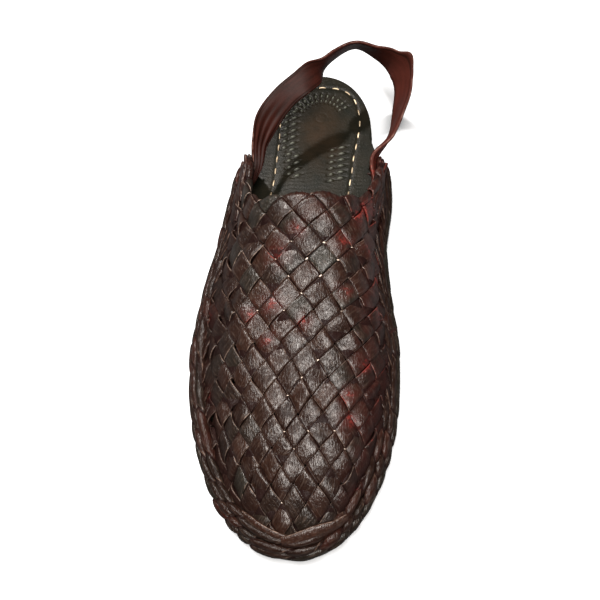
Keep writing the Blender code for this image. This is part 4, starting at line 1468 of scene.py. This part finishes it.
# Footbed leather: nearly black olive, browner where the heel has rubbed it. Painted shade takes the coat's
# shine off a wider patch round the same middle, and the marks are painted paler as painted glints. The
# distance from the rubbed place's middle is measured in its own half lengths.
def makeFootbedMaterial(finish):
    leather = Material("footbedLeather")
    height, blotch = leather.grain(finish["grainScale"])
    color = leather.mix((blotch * 1.8 - 0.4).clamped(), finish["dark"], finish["olive"])
    heel = (shiftX + finish["heelSide"], last["length"] / 2 - finish["heelAt"] + shiftY, 0.0)
    centred = leather.value("ShaderNodeVectorMath", {0: leather.place, 1: heel}, operation="SUBTRACT")
    inputs = {0: centred, 1: finish["heelShape"]}
    shrunk = leather.value("ShaderNodeVectorMath", inputs, operation="MULTIPLY")
    far = leather.value("ShaderNodeVectorMath", {0: shrunk}, "Value", operation="LENGTH")
    color = leather.mix((1.15 - far).clamped() * blotch, color, finish["brown"])
    # painted glints: the marks are painted paler
    color = leather.mix(leather.read("markGlint") * 0.8, color, finish["markGlint"])
    pores = leather.noise(leather.place, finish["poreScale"])
    waxBump = leather.bump(pores, finish["poreDepth"])
    leather.shine(finish, leather.bump(height, finish["depth"]), waxBump)
    leather.set({
        "Base Color": color,
        "Roughness": height * 0.2 + finish["roughness"],
        # painted shade: less shine round the rubbed place's middle
        "Coat Weight": (1.0 - (1.6 - far).clamped() * finish["shadeDulling"]) * finish["coat"],
    })
    return leather.material


insole = makeFootbed(makeFootbedMaterial(footbedFinish))
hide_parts("insole")
print("footbed made")

thread = {
    "shadow": (0.045, 0.025, 0.009, 1.0),
    "cream": (0.36, 0.29, 0.19, 1.0),
    "scale": 210.0,
    "rings": 11,
    "sides": 10,
    "flatness": 0.8,
}


# Stitches: each is a short bent rod whose ends dip into the leather
def makeStitches():
    cord = Material("creamThread", 0.6)
    spread = ((cord.noise(cord.place, thread["scale"], 3.0) - 0.33) * 2.8).clamped()
    cord.set({"Base Color": cord.mix(spread, thread["shadow"], thread["cream"])})
    step, length = footbed["stitchStep"], footbed["stitchLength"]
    fine = stitchPoints(step)
    batch = Batch()
    angle = roundTurn(thread["sides"])
    share = np.linspace(0.0, 1.0, thread["rings"])
    rise = np.sin(math.pi * share) ** 0.5
    for number, start in enumerate(np.arange(0.0, step * len(fine) - length, footbed["stitchPitch"])):
        at = (start + share * length) / step
        side, fromHeel = (np.interp(at, np.arange(len(fine)), line) for line in fine.T)
        base = footHeight(fromHeel) + last["insoleThickness"] - footbed["stitchSink"]
        path = toWorld(side, fromHeel, base + footbed["stitchRise"] * rise)
        ahead = unit(np.gradient(path, axis=0))
        across = unit(np.cross(ahead, (0.0, 0.0, 1.0)))
        radius = footbed["threadRadius"] * (0.45 + 0.55 * rise) * (1.0 + 0.10 * np.sin(5.0 * number))
        radius = radius[:, None]
        x, y = np.cos(angle) * radius, np.sin(angle) * thread["flatness"] * radius
        batch.addTube(carried(path, across, np.cross(across, ahead), x, y))
    return batch.make("stitches", cord.material)


stitches = makeStitches()

# Outsole: the same plate with a fine outline and a rounded, slightly hollow edge
outsoleEdge = {
    "stations": 260,
    "columns": 24,
    "bevel": 0.0008,
    "hollow": 0.00025,
}

soleFinish = {
    "dark": (0.0030, 0.0030, 0.0022, 1.0),
    "pale": (0.0110, 0.0080, 0.0055, 1.0),
    "layerScale": (25.0, 25.0, 1700.0),
    "grainScale": 700.0,
    "depth": 0.0002,
    "roughness": 0.42,
    "specular": 0.02,
    "coat": 0.01,
    "coatIOR": 1.6,
    "coatRoughness": 0.45,
}


# Sole leather in thin flat layers, which show at the edge
def makeOutsoleMaterial(finish):
    leather = Material("soleLeather")
    blotch = leather.grain(finish["grainScale"])[1]
    layers = leather.noise(leather.place, 1.0, 3.0, finish["layerScale"])
    color = leather.mix((layers * 2.0 - 0.5).clamped(), finish["dark"], finish["pale"])
    leather.set({"Base Color": color, "Roughness": blotch * 0.25 + finish["roughness"]})
    leather.shine(finish, leather.bump(layers, finish["depth"]))
    return leather.material


# Stations follow a half cosine wave, so they are closest at heel and toe. The edge is a bevel, a
# slight hollow and a bevel again.
def makeOutsole(material):
    sides = bothSides(last["soleInset"])
    first, final = commonSpan(sides)
    turn = np.linspace(0.0, math.pi, outsoleEdge["stations"])
    stations = first + 0.5 * (final - first) * (1.0 - np.cos(turn))
    low = soleLift(stations)
    high = low + last["soleThickness"]
    bevel = outsoleEdge["bevel"]
    levels = (
        (bevel, low),
        (0.3 * bevel, low + 0.3 * bevel),
        (0.0, low + bevel),
        (outsoleEdge["hollow"], 0.5 * (low + high)),
        (0.0, high - bevel),
        (0.3 * bevel, high - 0.3 * bevel),
        (bevel, high),
    )
    return makePlate("sole", material, sides, stations, levels, outsoleEdge["columns"])


outsole = makeOutsole(makeOutsoleMaterial(soleFinish))
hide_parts("outsole")
print("sole made")

upperPieces = (risingStrips, fallingStrips, palePips, ropedEdge, wrappedEnds, wingStrips, toeFolds)
for piece in upperPieces + (heelStrap, insole, stitches, outsole):
    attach(piece, "root")

# Floor, light and camera
studio = {
    "floorSize": 6.0,
    "floorColor": (0.245, 0.258, 0.272, 1.0),
    "worldColor": (1.0, 1.0, 1.0, 1.0),
    "worldStrength": 0.06,
    "lightColor": (1.0, 0.94, 0.885),
    "lightTarget": (0.0, 0.0, 0.02),
    "lights": {   # place, size, power
        "overheadBox": ((0.14, -0.24, 0.95), (0.13, 0.50), 46.0),
        "backKey": ((-0.40, 0.46, 1.00), (0.06, 0.06), 38.0),
    },
}


def makeFloor():
    half = studio["floorSize"] / 2
    corners = np.array([(-half, -half, 0.0), (half, -half, 0.0), (half, half, 0.0), (-half, half, 0.0)])
    pale = Material("paleFloor", 0.8)
    pale.set({"Base Color": studio["floorColor"]})
    floor = makeMesh("floor", corners, [[0, 1, 2, 3]], pale.material)


def addObject(name, data):
    thing = bpy.data.objects.new(name, data)
    bpy.context.scene.collection.objects.link(thing)
    return thing


def addAreaLight(name, place, size, power):
    light = bpy.data.lights.new(name, "AREA")
    light.color = studio["lightColor"]
    light.shape = "RECTANGLE"
    light.size, light.size_y = size
    light.energy = power
    lamp = addObject(name, light)
    lamp.location = place
    aim = Vector(studio["lightTarget"]) - Vector(place)
    lamp.rotation_euler = aim.to_track_quat("-Z", "Y").to_euler()


def makeWorld():
    world = bpy.data.worlds.new("studio")
    world.use_nodes = True
    background = world.node_tree.nodes["Background"]
    background.inputs["Color"].default_value = studio["worldColor"]
    background.inputs["Strength"].default_value = studio["worldStrength"]
    bpy.context.scene.world = world


# The camera stands where the photographer stood, over the toe and to the big-toe side. Places are
# given as side, from heel, height, and focal length and width in the photo's pixels.
camera = {
    "place": (0.05995, 0.30638, 0.3833),
    "aim": (0.0000, 0.1420, 0.020),
    "focalPixels": 850.0,
    "widthPixels": 600.0,
    "sensor": 36.0,
    "near": 0.01,
    "pitch": 62.0,
}


# The photograph's own up direction is kept, so the shoe leans as it does there
def makeCamera():
    place, aim = (Vector(toWorld(*np.array(camera[key]))) for key in ("place", "aim"))
    pitch = math.radians(camera["pitch"])
    photoUp = Vector((0.0, math.sin(pitch), math.cos(pitch)))
    back = (place - aim).normalized()
    right = photoUp.cross(back).normalized()
    up = back.cross(right)
    lens = bpy.data.cameras.new("camera")
    lens.sensor_width = camera["sensor"]
    lens.lens = camera["focalPixels"] / camera["widthPixels"] * camera["sensor"]
    lens.clip_start = camera["near"]
    viewer = addObject("camera", lens)
    viewer.matrix_world = Matrix.Translation(place) @ Matrix((right, up, back)).transposed().to_4x4()
    bpy.context.scene.camera = viewer


makeFloor()
makeWorld()
for name, settings in studio["lights"].items():
    addAreaLight(name, *settings)
makeCamera()
bpy.context.scene.view_settings.view_transform = "Standard"

print("scene ready")
